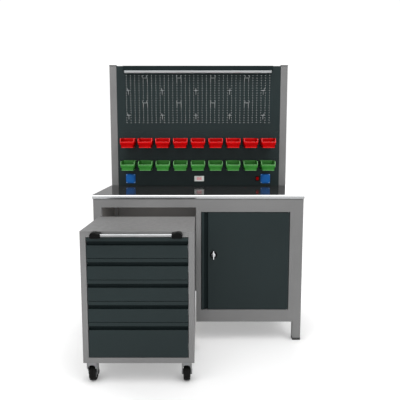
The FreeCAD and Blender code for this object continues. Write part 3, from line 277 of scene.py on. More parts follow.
# Dark matte paint: the lamp hood's own colour, and painted shade on the faces inside the grip
# recesses.
DARK_PAINT_AND_PAINTED_SHADE = powder_coat("dark_paint_and_painted_shade", rgb(21, 29, 30), 0.5, edge_highlight_and_wear=(20, 26, 27), specular=0.05)
STEEL = worktop_steel()
BOARD = board()
ZINC = zinc("zinc")
CHROME = brushed("chrome", rgb(188, 190, 191), 0.3, depth=0.001)
SATIN = brushed("handle_steel", rgb(140, 141, 142), 0.28)
SILVER = brushed("silver", rgb(200, 201, 204), 0.22, stretch=(1.0, 1.0, 0.06))
FOOT = moulded("foot_plastic", rgb(52, 52, 52), 0.5, 0.05, edge_highlight_and_wear=0.1, specular=0.2)
BLACK = moulded("black_plastic", rgb(5, 5, 5), 0.55, 0.05, edge_highlight_and_wear=0.05, specular=0.08)
RED = moulded("red_plastic", rgb(168, 0, 1), 0.45, edge_highlight_and_wear=0.1, specular=0.04)
# Lighter copies of the bin plastics, put on the bins' rims and bottom edges as painted highlight.
RED_PAINTED_HIGHLIGHT = moulded("red_painted_highlight", rgb(208, 8, 10), 0.25, edge_highlight_and_wear=0.2, specular=0.3)
GREEN = moulded("green_plastic", rgb(45, 116, 41), 0.4, edge_highlight_and_wear=0.15, specular=0.15)
GREEN_PAINTED_HIGHLIGHT = moulded("green_painted_highlight", rgb(84, 142, 80), 0.25, edge_highlight_and_wear=0.2, specular=0.3)
BLUE = moulded("blue_plastic", rgb(12, 96, 174), 0.36, edge_highlight_and_wear=0.15, specular=0.2)
DEEP_BLUE = moulded("deep_blue_plastic", rgb(12, 44, 82), 0.36, edge_highlight_and_wear=0.2, specular=0.3)
SCREW = moulded("screw_plastic", rgb(150, 176, 200), 0.35)
WHITE = moulded("white_plastic", rgb(236, 236, 234), 0.30)
SHUTTER = moulded("shutter_plastic", rgb(245, 176, 182), 0.35)
LAMP_WHITE = powder_coat("lamp_white", rgb(226, 228, 229), 0.35, edge_highlight_and_wear=(236, 236, 236))
DIFFUSER = diffuser()
TREAD = rubber()
HUB = moulded("hub_plastic", rgb(92, 93, 95), 0.5, 0.05)
FORK = zinc("fork_zinc", 132)


# Building pieces

def finish(name, bm, body, materials, replaces, sharp):
    """Turns a mesh drawn in millimetres into a piece that rides on a body and stands for a
    fixed node. Edges steeper than sharp degrees stay sharp."""
    bmesh.ops.remove_doubles(bm, verts=bm.verts, dist=0.0005)
    bmesh.ops.recalc_face_normals(bm, faces=bm.faces)
    bmesh.ops.scale(bm, vec=(MM, MM, MM), verts=bm.verts)
    mesh = bpy.data.meshes.new(name)
    bm.to_mesh(mesh)
    bm.free()
    mesh.shade_smooth()
    mesh.set_sharp_from_angle(angle=math.radians(sharp))
    piece = bpy.data.objects.new(name, mesh)
    bpy.context.scene.collection.objects.link(piece)
    for material in materials:
        mesh.materials.append(material)
    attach(piece, body)
    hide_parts(replaces)


def add_bevel(piece, width):
    """Rounds the sharp edges of a piece by a width in millimetres."""
    weld = piece.modifiers.new("weld", "WELD")
    weld.merge_threshold = 0.00001
    bevel = piece.modifiers.new("bevel", "BEVEL")
    bevel.width = width * MM
    bevel.segments = 2
    bevel.limit_method = "ANGLE"
    bevel.angle_limit = math.radians(28)
    bevel.miter_outer = "MITER_ARC"
    normals = piece.modifiers.new("normals", "WEIGHTED_NORMAL")
    normals.keep_sharp = False
    normals.weight = 80


def paint(material, *names, round_edges=0.0):
    """Gives fixed nodes their finish."""
    for name in names:
        node = NODES[name]
        node.data.materials.clear()
        node.data.materials.append(material)
        for polygon in node.data.polygons:
            polygon.material_index = 0
        if round_edges:
            add_bevel(node, round_edges)


def darken(name, inside):
    """Gives the faces of a node whose middle is inside a recess the darker finish, as painted
    shade.
    """
    low, high = span(name)
    node = NODES[name]
    node.data.materials.append(DARK_PAINT_AND_PAINTED_SHADE)
    for polygon in node.data.polygons:
        if inside(low, high, node.matrix_world @ polygon.center / MM):
            polygon.material_index = 1


def move(bm, verts, turn, offset):
    """Turns vertices round the origin, then moves them."""
    bmesh.ops.rotate(bm, verts=verts, cent=(0, 0, 0), matrix=turn)
    bmesh.ops.translate(bm, verts=verts, vec=offset)


def soft_box(bm, low, high, radius, segments=3, slot=0):
    """A box with rounded edges, from its lowest to its highest corner."""
    size = Vector(high) - Vector(low)
    made = bmesh.ops.create_cube(bm, size=1.0)
    verts = made["verts"]
    bmesh.ops.scale(bm, vec=size, verts=verts)
    bmesh.ops.translate(bm, verts=verts, vec=(Vector(low) + Vector(high)) / 2)
    edges = list({edge for vert in verts for edge in vert.link_edges})
    faces = list({face for vert in verts for face in vert.link_faces})
    for face in faces:
        face.material_index = slot
    limit = min(size) * 0.49
    made = bmesh.ops.bevel(bm, geom=edges, offset=min(radius, limit), segments=segments,
                           profile=0.5, affect="EDGES", material=-1, clamp_overlap=True)
    return list({vert for face in made["faces"] for vert in face.verts})


def lathe(bm, outline, centre, axis, steps, slot=0):
    """Spins an outline of (radius, height) points round an axis through a centre."""
    turn = {"z": Matrix.Identity(3), "x": Matrix.Rotation(math.radians(90), 3, "Y"),
            "y": Matrix.Rotation(math.radians(90), 3, "X")}[axis]
    verts = [bm.verts.new((radius, 0, height)) for radius, height in outline]
    edges = [bm.edges.new(pair) for pair in zip(verts, verts[1:])]
    before = set(bm.faces)
    bmesh.ops.spin(bm, geom=verts + edges, cent=(0, 0, 0), axis=(0, 0, 1),
                   angle=math.radians(360), steps=steps, use_merge=True, use_duplicate=False)
    faces = [face for face in bm.faces if face not in before]
    for face in faces:
        face.material_index = slot
    move(bm, list({vert for face in faces for vert in face.verts}), turn, centre)


def corner_arc(before, corner, after, radius, share, steps):
    """Points that round a corner by a radius, on at most a share of the runs beside it."""
    a = (before - corner).normalized()
    b = (after - corner).normalized()
    reach = min(radius / math.tan(a.angle(b) / 2), (before - corner).length * share,
                (after - corner).length * share)
    start, end = corner + a * reach, corner + b * reach
    ways = [i / steps for i in range(steps + 1)]
    return [start.lerp(corner, way).lerp(corner.lerp(end, way), way) for way in ways]


def rounded_path(points, bend):
    """Points along straight runs with arcs in place of their corners."""
    points = [Vector(point) for point in points]
    path = [points[0]]
    for before, corner, after in zip(points, points[1:], points[2:]):
        path += corner_arc(before, corner, after, bend, 0.49, 6)
    return path + [points[-1]]


def wire(bm, points, radius, bend, sides=12):
    """A round wire along a path, with domed ends."""
    path = rounded_path(points, bend)
    first = (path[1] - path[0]).normalized()
    side = first.orthogonal().normalized()
    stations = []
    for dome in (1.0, 0.7, 0.35):
        stations.append((path[0] - first * radius * 0.9 * dome,
                         radius * math.sqrt(1 - dome ** 2), first))
    for i, point in enumerate(path):
        before = path[max(i - 1, 0)]
        after = path[min(i + 1, len(path) - 1)]
        stations.append((point, radius, (after - before).normalized()))
    last = (path[-1] - path[-2]).normalized()
    for dome in (0.35, 0.7, 1.0):
        stations.append((path[-1] + last * radius * 0.9 * dome,
                         radius * math.sqrt(1 - dome ** 2), last))
    rings = []
    for point, size, along in stations:
        side = (side - along * side.dot(along)).normalized()
        other = along.cross(side)
        angles = [2 * math.pi * k / sides for k in range(sides)]
        rings.append([bm.verts.new(point + (side * math.cos(angle) + other * math.sin(angle))
                                   * max(size, 0.01)) for angle in angles])
    for low, high in zip(rings, rings[1:]):
        for k in range(sides):
            after = (k + 1) % sides
            bm.faces.new((low[k], low[after], high[after], high[k]))
    bm.faces.new(rings[0][::-1])
    bm.faces.new(rings[-1])


def plate(bm, outline, depth, plane, at):
    """A flat outline at a place, given a depth: xz runs to the back, yz to the right."""
    if plane == "xz":
        points = [(across, at, up) for across, up in outline]
        away = Vector((0, depth, 0))
    else:
        points = [(at, across, up) for across, up in outline]
        away = Vector((depth, 0, 0))
    face = bm.faces.new([bm.verts.new(point) for point in points])
    made = bmesh.ops.extrude_face_region(bm, geom=[face])
    verts = [item for item in made["geom"] if isinstance(item, bmesh.types.BMVert)]
    bmesh.ops.translate(bm, verts=verts, vec=away)
    return verts + list(face.verts)


def round_corners(outline, radius, steps=5):
    """Rounds every corner of a closed outline."""
    corners = [Vector(point) for point in outline]
    rounded = []
    for before, corner, after in zip(corners[-1:] + corners, corners, corners[1:] + corners[:1]):
        rounded += corner_arc(before, corner, after, radius, 0.48, steps)
    return rounded


def rectangle(x, z, half_width, half_height, radius):
    """A rectangle round a middle, with rounded corners."""
    return round_corners([(x - half_width, z - half_height), (x + half_width, z - half_height),
                          (x + half_width, z + half_height), (x - half_width, z + half_height)],
                         radius)


def soften_front(bm, verts, front, width, segments=3, profile=0.5):
    """Rounds the edges of a plate that lie in its front face."""
    edges = [edge for edge in {edge for vert in verts for edge in vert.link_edges}
             if all(abs(vert.co.y - front) < 0.01 for vert in edge.verts)]
    bmesh.ops.bevel(bm, geom=edges, offset=width, segments=segments, profile=profile,
                    affect="EDGES", material=-1, clamp_overlap=True)


# Fixed nodes that keep their shape

LIP_HEIGHT = 17.0
GROOVE_HEIGHT = 19.5
CHANNEL_LEFT, CHANNEL_RIGHT, CHANNEL_DEPTH = 14.0, 39.0, 15.0
FRONTS = ["drawer_%d_front" % i for i in range(1, 6)]
TRAYS = ["drawer_%d_tray" % i for i in range(1, 6)]


def in_grip_channel(low, high, spot):
    """Whether a spot is in the grip channel at the left edge of the door."""
    return (low.y + 1 < spot.y < low.y + CHANNEL_DEPTH
            and low.x + CHANNEL_LEFT < spot.x < low.x + CHANNEL_RIGHT)


def in_grip_groove(low, high, spot):
    """Whether a spot is in the groove of a drawer front or on the underside of its lip."""
    groove_bottom = high.z - LIP_HEIGHT - GROOVE_HEIGHT
    return low.y + 0.5 < spot.y < high.y - 0.9 and groove_bottom - 0.5 < spot.z < high.z - 1


paint(STEEL, "worktop_skin")
paint(BOARD, "worktop_core")
paint(GREY, "legs", "frame_rails", "uprights", "side_panel", "rear_panel", "cupboard_sides",
      "cupboard_floor", "cupboard_frame", "cupboard_shelf", round_edges=0.5)
paint(GREY, "trolley_sides", "trolley_top", "trolley_base", "trolley_back", round_edges=0.5)
paint(DARK, "peg_panel", "bin_panel")
paint(DARK, "bin_rails", "door", *FRONTS, round_edges=0.4)
paint(DARK_PAINT_AND_PAINTED_SHADE, "lamp_hood", round_edges=0.4)
paint(ZINC, "hinge_pins", "frame_bolts", "drawer_runners", "caster_plates", *TRAYS)
paint(FOOT, "leg_feet", round_edges=0.6)
paint(BLACK, "upright_caps", "switch_bezel", round_edges=0.6)
paint(LAMP_WHITE, "lamp_body")
paint(DIFFUSER, "lamp_diffuser", round_edges=2.5)
paint(SATIN, "handle_tube")
paint(BLUE, "socket_lid_left", "socket_lid_right", round_edges=0.6)
paint(RED, "switch_rocker", round_edges=0.5)
# Painted shade: the faces inside the door's grip channel and the drawers' grip grooves get the
# darker finish.
darken("door", in_grip_channel)
for front in FRONTS:
    darken(front, in_grip_groove)


# Bins

BIN_COUNT = 9
BIN_WIDTH = 91.0
BIN_LENGTH = 126.0
BIN_TAPER = 5.0
BIN_STEP = 21.0
BIN_LIP = 40.0
BIN_TOP = 64.0
BIN_HOOK_HALF = 30.0
SCOOP = 14.0
SCOOP_START = 4.0


def bin_loop(inset, height, corner):
    """One closed line round a bin: its inset from the widest outline, its height as a
    function of the distance from the front, and the radius of its corners."""
    left, right = inset, BIN_WIDTH - inset
    near, far = inset, BIN_LENGTH - inset
    scoop_marks = [SCOOP * 0.35, SCOOP * 0.7, SCOOP - 3, SCOOP + 3]
    points = []
    for x, y, start in ((right - corner, near + corner, -90), (right - corner, far - corner, 0),
                        (left + corner, far - corner, 90), (left + corner, near + corner, 180)):
        for step in range(5):
            angle = math.radians(start + 22.5 * step)
            points.append((x + corner * math.cos(angle), y + corner * math.sin(angle)))
        if start == -90:
            points += [(right, mark) for mark in scoop_marks]
        if start == 90:
            points += [(left, mark) for mark in reversed(scoop_marks)]
    return [(x, y, height(y)) for x, y in points]


def rim_height(y):
    """Height of a bin's rim: low at the front, rising along the scoop to the full height."""
    risen = max(0.0, min(1.0, (y - SCOOP_START) / SCOOP))
    return BIN_LIP + (BIN_TOP - BIN_LIP) * risen


def level(height):
    """The same height at every distance from the front."""
    return lambda y: height


def towards_rim(share, drop=0.0):
    """A share of the way from the step of a bin up to its rim."""
    return lambda y: BIN_STEP + 2 + (rim_height(y) - drop - BIN_STEP - 2) * share


def bin_lines():
    """Lines round a bin from the middle of its bottom, up the outside, over the rim and down
    the inside, each with the finish of the band above it: 0 on the walls, 1 on the rims and
    the bottom edge, where a lighter copy of the plastic is a painted highlight."""
    bottom, step = level(0.0), BIN_STEP
    lines = [
        (BIN_TAPER + 4.0, bottom, 5.0, 0),
        (BIN_TAPER + 1.8, bottom, 5.0, 1),
        (BIN_TAPER + 0.6, level(1.2), 5.0, 1),
        (BIN_TAPER + 0.5, level(4.4), 5.0, 0),
        (BIN_TAPER, level(step - 1.6), 5.0, 0),
        (BIN_TAPER - 0.8, level(step - 0.3), 5.0, 0),
        (0.9, level(step), 5.0, 0),
        (0.1, level(step + 0.9), 5.0, 0),
        (0.1, towards_rim(0.5), 5.0, 0),
        (0.3, towards_rim(1.0, 6.6), 5.0, 0),
        (-0.9, towards_rim(1.0, 5.6), 5.0, 1),
        (-1.2, towards_rim(1.0, 1.4), 5.0, 1),
        (-0.4, towards_rim(1.0, 0.2), 4.6, 1),
        (2.6, towards_rim(1.0), 3.6, 1),
        (3.5, towards_rim(1.0, 1.0), 3.0, 0),
        (3.6, towards_rim(0.5), 3.0, 0),
        (3.8, level(step + 3.0), 3.0, 0),
        (BIN_TAPER + 0.6, level(step + 1.4), 3.0, 0),
        (BIN_TAPER + 2.0, level(step - 1.0), 3.0, 0),
        (BIN_TAPER + 2.4, level(5.0), 3.0, 0),
        (BIN_TAPER + 4.5, level(2.4), 3.0, 0)]
    return [(bin_loop(inset, height, corner), slot) for inset, height, corner, slot in lines]


def make_bin(bm, place):
    """A storage bin: a stepped tub with thin walls, a rolled rim, an open front and a hook
    at its back."""
    rings = [([bm.verts.new(Vector(place) + Vector(point)) for point in loop], slot)
             for loop, slot in bin_lines()]
    for (low, slot), (high, _) in zip(rings, rings[1:]):
        for i, corner in enumerate(low):
            after = (i + 1) % len(low)
            face = bm.faces.new((corner, low[after], high[after], high[i]))
            face.material_index = slot
    bm.faces.new(rings[0][0][::-1])
    bm.faces.new(rings[-1][0])
    x, y, z = place
    left, right = (x + BIN_WIDTH / 2 + side * BIN_HOOK_HALF for side in (-1, 1))
    back, top = y + BIN_LENGTH, z + BIN_TOP
    soft_box(bm, (left, back - 1.5, top - 2.4), (right, back + 6.1, top - 0.2), 0.8, 2)
    soft_box(bm, (left, back + 2.2, top - 12.8), (right, back + 4.0, top - 0.4), 0.8, 2)


def make_bin_row(name, materials):
    """A row of bins side by side, from one end of the fixed node to the other."""
    low, high = span(name)
    pitch = (high.x - low.x - BIN_WIDTH) / (BIN_COUNT - 1)
    bm = bmesh.new()
    for i in range(BIN_COUNT):
        make_bin(bm, (low.x + i * pitch, low.y, low.z))
    finish(name + "_moulded", bm, "bench", materials, name, 50)


# The second finish of each row is a painted highlight on the rims and bottom edges.
make_bin_row("red_bins", [RED, RED_PAINTED_HIGHLIGHT])
make_bin_row("green_bins", [GREEN, GREEN_PAINTED_HIGHLIGHT])


# Hooks

HOOK_WIRE = 1.3
HOOK_HALF = 14.15
HOOK_TAIL = 9.0
HOOK_STEM = 26.0
HOOK_TIP = 9.0


def make_hooks(name, count, stems):
    """Wire hooks in two rows: a bar with both ends through the panel, and a stem and a prong
    at each of the places in stems, as shares of the bar's half length."""
    low, high = span(name)
    step = (high.x - low.x - 2 * (HOOK_HALF + HOOK_WIRE)) / (count - 1)
    tail, bar, tip = high.y - 0.5, high.y - HOOK_TAIL, low.y + HOOK_WIRE
    stem_front = bar - 1.2
    bm = bmesh.new()
    for row in (high.z - HOOK_TIP, low.z + HOOK_STEM):
        for i in range(count):
            x = low.x + HOOK_HALF + HOOK_WIRE + i * step
            left, right = x - HOOK_HALF, x + HOOK_HALF
            wire(bm, [(left, tail, row), (left, bar, row), (right, bar, row), (right, tail, row)],
                 HOOK_WIRE, 3.0)
            for stem in stems:
                across = x + stem * HOOK_HALF
                wire(bm, [(across, stem_front, row - HOOK_STEM), (across, stem_front, row),
                          (across, tip, row), (across, tip, row + HOOK_TIP - 1)], HOOK_WIRE, 5.0)
    finish(name + "_bent", bm, "bench", [CHROME], name, 60)


make_hooks("single_hooks", 5, (0,))
make_hooks("double_hooks", 4, (-1, 1))


# Casters

CASTERS = ("front_left", "front_right", "rear_left", "rear_right")
RIB_COUNT = 6
RIB_PLACE = 12.4
AXLE_HEIGHT = 40.0
TRAIL = 18.0
CROWN_HALF = 25.0
ROLLED_EDGE = ((23.9, 0.0), (23.3, 1.9), (21.5, 2.7), (18.7, 2.5), (18.2, 1.4), (18.9, 0.3),
               (21.0, 0.1))


def mirrored(outline):
    """A lathe's outline on the other side of its middle."""
    return [(radius, -across) for radius, across in outline]


def make_wheel(corner):
    """A grooved tyre on a hub with six ribs on each side."""
    name = "caster_wheel_" + corner
    low, high = span(name)
    centre = (low + high) / 2
    tread = [(27.5, 13.0), (28.2, 14.4), (30.5, 15.6), (34.5, 16.4), (37.4, 16.2), (39.2, 15.0),
             (39.9, 12.8), (40.0, 10.0), (40.0, 3.6), (39.1, 3.0), (39.1, 2.2), (40.0, 1.6)]
    hub = [(5.6, 16.0), (6.2, 16.5), (12.0, 16.5), (13.4, 16.0), (14.2, 12.6), (15.5, 11.4),
           (23.6, 12.4), (24.6, 14.0), (26.2, 14.2), (27.5, 13.0)]
    bm = bmesh.new()
    lathe(bm, tread + mirrored(tread)[::-1], centre, "x", 56, 0)
    lathe(bm, hub[::-1] + mirrored(hub), centre, "x", 56, 1)
    for side in (-1, 1):
        for k in range(RIB_COUNT):
            rib = soft_box(bm, (-1.2, 14.5, -1.4), (1.2, 25.0, 1.4), 0.5, 2, 1)
            turn = Matrix.Rotation(math.radians(360 / RIB_COUNT * k), 3, "X")
            move(bm, rib, turn, centre + Vector((side * RIB_PLACE, 0, 0)))
    finish(name + "_turned", bm, "wheel_" + corner, [TREAD, HUB], name, 40)


def add_rolled_edge(bm, side, edge):
    """The rolled front edge of a fork leg along points from its top to its foot."""
    rings = [[bm.verts.new((side * x, y - forward, z)) for x, forward in ROLLED_EDGE]
             for y, z in edge]
    count = len(ROLLED_EDGE)
    for upper, lower in zip(rings, rings[1:]):
        for k in range(count):
            after = (k + 1) % count
            bm.faces.new((upper[k], upper[after], lower[after], lower[k]))
    bm.faces.new(rings[0])
    bm.faces.new(rings[-1][::-1])


def make_fork(corner):
    """Pressed steel fork: domed crown, arched apron, two legs with a rolled edge, and black
    caps over the axle's ends."""
    name = "caster_fork_" + corner
    low, high = span(name)
    top = high.z
    bm = bmesh.new()
    crown = [(6.2, -2.6), (6.2, 0.0), (14.0, -0.1), (20.0, -0.8), (23.4, -2.6), (24.6, -5.4),
             (24.6, -12.0), (22.2, -12.0), (22.2, -6.0), (21.2, -4.0), (18.0, -2.9), (6.2, -2.6)]
    lathe(bm, crown, (0, 0, top), "z", 48)
    leg = [(-24.5, top - 3.5), (-25.0, top - 10.0), (-23.5, top - 20.0), (-14.0, 68.0),
           (TRAIL - 14.5, 46.0), (TRAIL - 12.6, 36.0), (TRAIL - 8.0, 29.6), (TRAIL, 27.2),
           (TRAIL + 8.0, 29.6), (TRAIL + 12.2, 36.0), (TRAIL + 12.6, 44.0), (TRAIL + 8.0, 62.0),
           (25.0, 78.0), (25.5, top - 3.5)]
    outline = round_corners(leg, 6.0, 3)
    edge = [(y, z) for y, z in outline if y < TRAIL - 7 and 30 < z < top - 10]
    edge.sort(key=lambda point: -point[1])
    for side in (-1, 1):
        plate(bm, outline, side * 2.4, "yz", side * 21.5)
        add_rolled_edge(bm, side, edge)
    arch = [(-23.6, top - 30.0), (-23.6, top - 4.0), (-20.0, top - 1.6), (20.0, top - 1.6),
            (23.6, top - 4.0), (23.6, top - 30.0), (18.0, top - 30.0)]
    opening = [(18.0 * math.copysign(abs(math.cos(angle)) ** 0.75, math.cos(angle)),
                top - 27.5 + 15.5 * math.sin(angle) ** 0.75)
               for angle in (math.radians(10 + 16 * k) for k in range(11))]
    plate(bm, arch + opening + [(-18.0, top - 30.0)], 2.4, "xz", -26.2)
    wire(bm, [(x, -26.6, z) for x, z in opening], 1.1, 2.0, 8)
    cap = [(0.01, 25.0), (10.6, 25.0), (12.7, 24.4), (13.3, 23.0), (13.3, 17.6), (12.6, 17.0),
           (0.01, 17.0)]
    axle = [(0.01, -23.9), (4.95, -23.9), (4.95, 23.9), (0.01, 23.9)]
    for outline, slot in ((mirrored(cap), 1), (cap, 1), (axle, 0)):
        lathe(bm, outline, (0, TRAIL, AXLE_HEIGHT), "x", 32 if slot else 24, slot)
    swivel = Vector(((low.x + high.x) / 2, low.y + CROWN_HALF, 0))
    bmesh.ops.translate(bm, verts=bm.verts, vec=swivel)
    finish(name + "_pressed", bm, "swivel_" + corner, [FORK, BLACK], name, 35)


for corner in CASTERS:
    make_wheel(corner)
    make_fork(corner)


# Handle brackets

BRACKET_WIDTH = 48.5


def make_brackets():
    """Moulded sockets of the handle tube, higher at their outer side."""
    low, high = span("handle_brackets")
    height = high.z - low.z
    half_shape = [(0, 0), (0, height * 0.62), (6, height * 0.93), (11, height), (25, height),
                  (30, height * 0.90), (34, height * 0.84), (BRACKET_WIDTH - 2.5, height * 0.82),
                  (BRACKET_WIDTH, height * 0.72), (BRACKET_WIDTH, 0)]
    bm = bmesh.new()
    for side, outer in ((-1, low.x), (1, high.x)):
        shape = [(outer - side * x, low.z + z) for x, z in round_corners(half_shape, 4.0, 4)]
        verts = plate(bm, shape, high.y - low.y, "xz", low.y)
        soften_front(bm, verts, low.y, 4.2, 4, 0.6)
    finish("handle_brackets_moulded", bm, "pedestal", [BLACK], "handle_brackets",
           40)


make_brackets()


# Lock

WING_REACH = 13.3
WING_DEPTH = 12.4
CAM_THICK = 3.0


def make_lock():
    """The black ring in the door, and the wing with its hub, spindle and hanging cam."""
    low, high = span("lock_rosette")
    x, z = (low.x + high.x) / 2, (low.z + high.z) / 2
    front = low.y
    bm = bmesh.new()
    ring = [(4.1, 22.0), (8.9, 22.0), (8.9, 3.5), (20.4, 3.5), (21.0, 2.9), (21.0, 1.6),
            (20.0, 0.5), (17.4, 0.0), (16.2, 0.6), (15.2, 1.5), (8.0, 1.5), (4.1, 1.2),
            (4.1, 22.0)]
    lathe(bm, mirrored(ring), (x, front, z), "y", 48)
    finish("lock_rosette_moulded", bm, "door", [BLACK], "lock_rosette", 40)
    low, high = span("lock_turn")
    bm = bmesh.new()
    hub = [(0.01, -9.6), (5.6, -9.4), (8.8, -8.4), (11.2, -6.2), (12.0, -4.0), (12.0, -1.4),
           (11.0, -0.4), (3.95, -0.3), (3.95, 26.0), (0.01, 26.0)]
    lathe(bm, mirrored(hub), (x, front, z), "y", 40)
    wing = [(-2.6, -24.2), (0.0, -25.0), (2.6, -24.2), (3.2, -15.0), (3.6, -8.0), (3.8, 0.0),
            (3.6, 8.0), (3.2, 15.0), (2.6, 24.2), (0.0, 25.0), (-2.6, 24.2), (-3.2, 15.0),
            (-3.6, 8.0), (-3.8, 0.0), (-3.6, -8.0), (-3.2, -15.0)]
    shape = [(x + across, z + up) for across, up in round_corners(wing, 2.0, 3)]
    verts = plate(bm, shape, WING_DEPTH, "xz", front - WING_REACH)
    soften_front(bm, verts, front - WING_REACH, 1.0, 3, 0.6)
    cam = [(-7.5, -79.0), (-5.0, -80.0), (5.0, -80.0), (7.5, -79.0), (8.0, -76.0), (8.0, 3.0),
           (5.5, 7.0), (0.0, 8.0), (-5.5, 7.0), (-8.0, 3.0), (-8.0, -76.0)]
    plate(bm, [(x + across, z + up) for across, up in cam], CAM_THICK, "xz", high.y - CAM_THICK)
    finish("lock_turn_cast", bm, "lock", [SILVER], "lock_turn", 40)


make_lock()


# Sockets and outlet

FLANGE_HALF = 32.0
FLANGE_THICK = 5.0
COLLAR_REACH = 11.0
BOX_DEPTH = 34.0
OUTLET_THICK = 8.0
PLATE_THICK = 6.6
FRAME_REACH = 7.6


def make_socket(bm, x, z, face):
    """Socket base: rounded flange, collar, hinge ears and four screws."""
    verts = plate(bm, rectangle(x, z, FLANGE_HALF, FLANGE_HALF, 6.0), FLANGE_THICK, "xz",
                  face - FLANGE_THICK)
    soften_front(bm, verts, face - FLANGE_THICK, 1.4)
    verts = plate(bm, rectangle(x, z, 21.0, 21.0, 4.0), COLLAR_REACH - FLANGE_THICK, "xz",
                  face - COLLAR_REACH)
    soften_front(bm, verts, face - COLLAR_REACH, 0.8)
    plate(bm, rectangle(x, z, 22.0, 22.0, 3.0), BOX_DEPTH, "xz", face)
    for side in (-1, 1):
        ear = x + side * 11.3
        soft_box(bm, (ear - 2, face - 11.4, z + 23.6), (ear + 2, face - 4.4, z + 29.4), 1.2, 2, 1)
        for up in (-1, 1):
            lathe(bm, [(0.01, 1.4), (2.0, 1.2), (2.8, 0.5), (3.0, 0.0)],
                  (x + side * 26.6, face - FLANGE_THICK, z + up * 26.6), "y", 20, 2)


def make_sockets():
    """The two socket bases on the right upright's face."""
    low, high = span("socket_bases")
    bm = bmesh.new()
    for x in (low.x + FLANGE_HALF, high.x - FLANGE_HALF):
        make_socket(bm, x, low.z + FLANGE_HALF, high.y - BOX_DEPTH)
    finish("socket_bases_moulded", bm, "bench", [BLUE, DEEP_BLUE, SCREW], "socket_bases",
           40)


def make_outlet():
    """Data outlet: white plate with a raised frame round two pale red shutters."""
    low, high = span("data_outlet")
    x, z = (low.x + high.x) / 2, (low.z + high.z) / 2
    face = low.y + OUTLET_THICK
    frame_front, frame_back = face - FRAME_REACH, face - 4.0
    bm = bmesh.new()
    verts = plate(bm, rectangle(x, z, (high.x - low.x) / 2, (high.z - low.z) / 2, 4.0),
                  PLATE_THICK, "xz", face - PLATE_THICK)
    soften_front(bm, verts, face - PLATE_THICK, 1.6)
    for side in (-1, 1):
        shutter, stile, rail = x + side * 8.6, x + side * 18.8, z + side * 12.0
        soft_box(bm, (shutter - 8.1, low.y, z - 10.0), (shutter + 8.1, frame_back, z + 10.0),
                 1.0, 2, 1)
        soft_box(bm, (x - 20.0, frame_front, rail - 1.2), (x + 20.0, frame_back, rail + 1.2),
                 0.6, 2)
        soft_box(bm, (stile - 1.2, frame_front, z - 12.0), (stile + 1.2, frame_back, z + 12.0),
                 0.6, 2)
    box = [(x - 16.5, z - 9.2), (x + 16.5, z - 9.2), (x + 16.5, z + 9.2), (x - 16.5, z + 9.2)]
    plate(bm, box, high.y - face, "xz", face)
    finish("data_outlet_moulded", bm, "bench", [WHITE, SHUTTER], "data_outlet",
           40)


make_sockets()
make_outlet()


# Stage, light and camera

FLOOR_HALF = 14.0
FLOOR_GLOW, FLOOR_GLOW_FAR = 0.315, 0.6
GLOW_START, GLOW_END = 0.75, 1.35
SHADOW_REACH = 0.06
ROOM_LIGHT = 0.6
ROOM_FRONT = 0.1
ROOM_ABOVE = 2.3
ROOM_REAR = 0.64
WINDOW = 3.8
BACKDROP = 1.05
CAMERA_LENS = 43.52
CAMERA_ACROSS = 0.00946
CAMERA_BACK = 2.71537
CAMERA_HEIGHT = 1.15754
CAMERA_TILT = 6.952


def make_floor():
    """A white floor with a painted glow, stronger away from the bench, and painted contact
    shade: the glow is taken out in the corners under feet and wheels."""
    bm = bmesh.new()
    corners = ((-1, -1), (1, -1), (1, 1), (-1, 1))
    bm.faces.new([bm.verts.new((x * FLOOR_HALF, y * FLOOR_HALF, 0)) for x, y in corners])
    mesh = bpy.data.meshes.new("floor")
    bm.to_mesh(mesh)
    bm.free()
    floor = bpy.data.objects.new("floor", mesh)
    bpy.context.scene.collection.objects.link(floor)
    shade = Shade("floor_white", 0.8, Specular_IOR_Level=0.1)
    pale = shade.blend(shade.spread(shade.noise(1.5, 2.0), 0.0, 1.0), rgb(205, 205, 205),
                       rgb(208, 208, 208))
    length = shade.add("ShaderNodeVectorMath", operation="LENGTH")
    shade.join(shade.stretched(1.4, 1.0, 1.0), length.inputs[0])
    shade.bsdf.inputs["Emission Color"].default_value = (1, 1, 1, 1)
    # Painted contact shade: occlusion close by dims the floor's glow under feet and wheels.
    near = shade.add("ShaderNodeAmbientOcclusion", samples=8)
    near.inputs["Distance"].default_value = SHADOW_REACH
    glow = shade.spread(length.outputs["Value"], FLOOR_GLOW, FLOOR_GLOW_FAR,
                        GLOW_START, GLOW_END)
    shade.put(shade.bsdf.inputs["Emission Strength"],
              shade.math("MULTIPLY", glow, near.outputs["AO"]))
    mesh.materials.append(shade.finish(pale, 0.8))


def make_light(name, place, target, size, power, height=None):
    """A lamp with a flat face, square unless it is given a height, turned to a target."""
    data = bpy.data.lights.new(name, "AREA")
    data.shape = "RECTANGLE"
    data.size = size
    data.size_y = height or size
    data.energy = power
    light = bpy.data.objects.new(name, data)
    light.location = place
    light.rotation_euler = (Vector(target) - Vector(place)).to_track_quat("-Z", "Y").to_euler()
    bpy.context.scene.collection.objects.link(light)
    return light


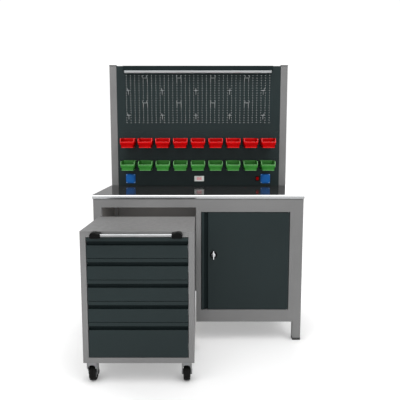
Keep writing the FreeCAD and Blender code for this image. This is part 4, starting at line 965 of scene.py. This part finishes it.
def make_world():
    """A white studio: even light from all sides, plain white behind the object, and in
    reflections a dim front, a bright ceiling and a window at the back right."""
    world = bpy.data.worlds.new("studio")
    bpy.context.scene.world = world
    world.use_nodes = True
    tree = world.node_tree

    def mix(factor, a, b):
        node = tree.nodes.new("ShaderNodeMix")
        node.data_type = "FLOAT"
        for socket, value in (("Factor", factor), ("A", a), ("B", b)):
            if isinstance(value, float):
                node.inputs[socket].default_value = value
            else:
                tree.links.new(value, node.inputs[socket])
        return node.outputs[0]

    def ramp(value, start, end):
        node = tree.nodes.new("ShaderNodeMapRange")
        node.interpolation_type = "SMOOTHSTEP"
        tree.links.new(value, node.inputs["Value"])
        node.inputs["From Min"].default_value = start
        node.inputs["From Max"].default_value = end
        return node.outputs[0]

    split = tree.nodes.new("ShaderNodeSeparateXYZ")
    tree.links.new(tree.nodes.new("ShaderNodeTexCoord").outputs["Generated"], split.inputs[0])
    x, y, z = split.outputs
    ray = tree.nodes.new("ShaderNodeLightPath")
    front = mix(ramp(z, 0.0, 0.4), ROOM_FRONT, ROOM_ABOVE)
    rear = mix(ramp(x, 0.0, 0.14), ROOM_REAR, WINDOW)
    reflected = mix(ramp(y, -0.1, 0.35), front, rear)
    light = mix(ray.outputs["Is Glossy Ray"], ROOM_LIGHT, reflected)
    strength = mix(ray.outputs["Is Camera Ray"], light, BACKDROP)
    background = tree.nodes["Background"]
    tree.links.new(strength, background.inputs["Strength"])
    background.inputs["Color"].default_value = (1, 1, 1, 1)


def make_camera():
    """The photograph's place: found from the edges of the bench and the pedestal."""
    low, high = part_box("legs")
    data = bpy.data.cameras.new("camera")
    data.sensor_width = 36.0
    data.lens = CAMERA_LENS
    data.clip_end = 100.0
    camera = bpy.data.objects.new("camera", data)
    camera.location = (CAMERA_ACROSS, low.y - CAMERA_BACK, CAMERA_HEIGHT)
    camera.rotation_euler = (math.radians(90 - CAMERA_TILT), 0, 0)
    bpy.context.scene.collection.objects.link(camera)
    bpy.context.scene.camera = camera


make_floor()
make_world()
for side, power in ((-1, 55), (1, 60)):
    make_light("key", (side * 2.6, -3.0, 4.2), (0, 0, 0.6), 2.6, power)
make_light("top", (0.2, -0.8, 4.6), (0, 0, 0.5), 3.2, 80)
fill = make_light("fill", (0.0, -5.0, 0.85), (0, 0, 0.75), 1.6, 64)
fill.visible_glossy = False
bay = make_light("bay", (-0.29, -0.1, 0.62), (-0.29, 0.3, 0.78), 0.4, 1.0, 0.04)
bay.visible_glossy = False
bay.visible_camera = False
make_camera()
bpy.context.scene.view_settings.view_transform = "Standard"
bpy.context.scene.view_settings.look = "None"
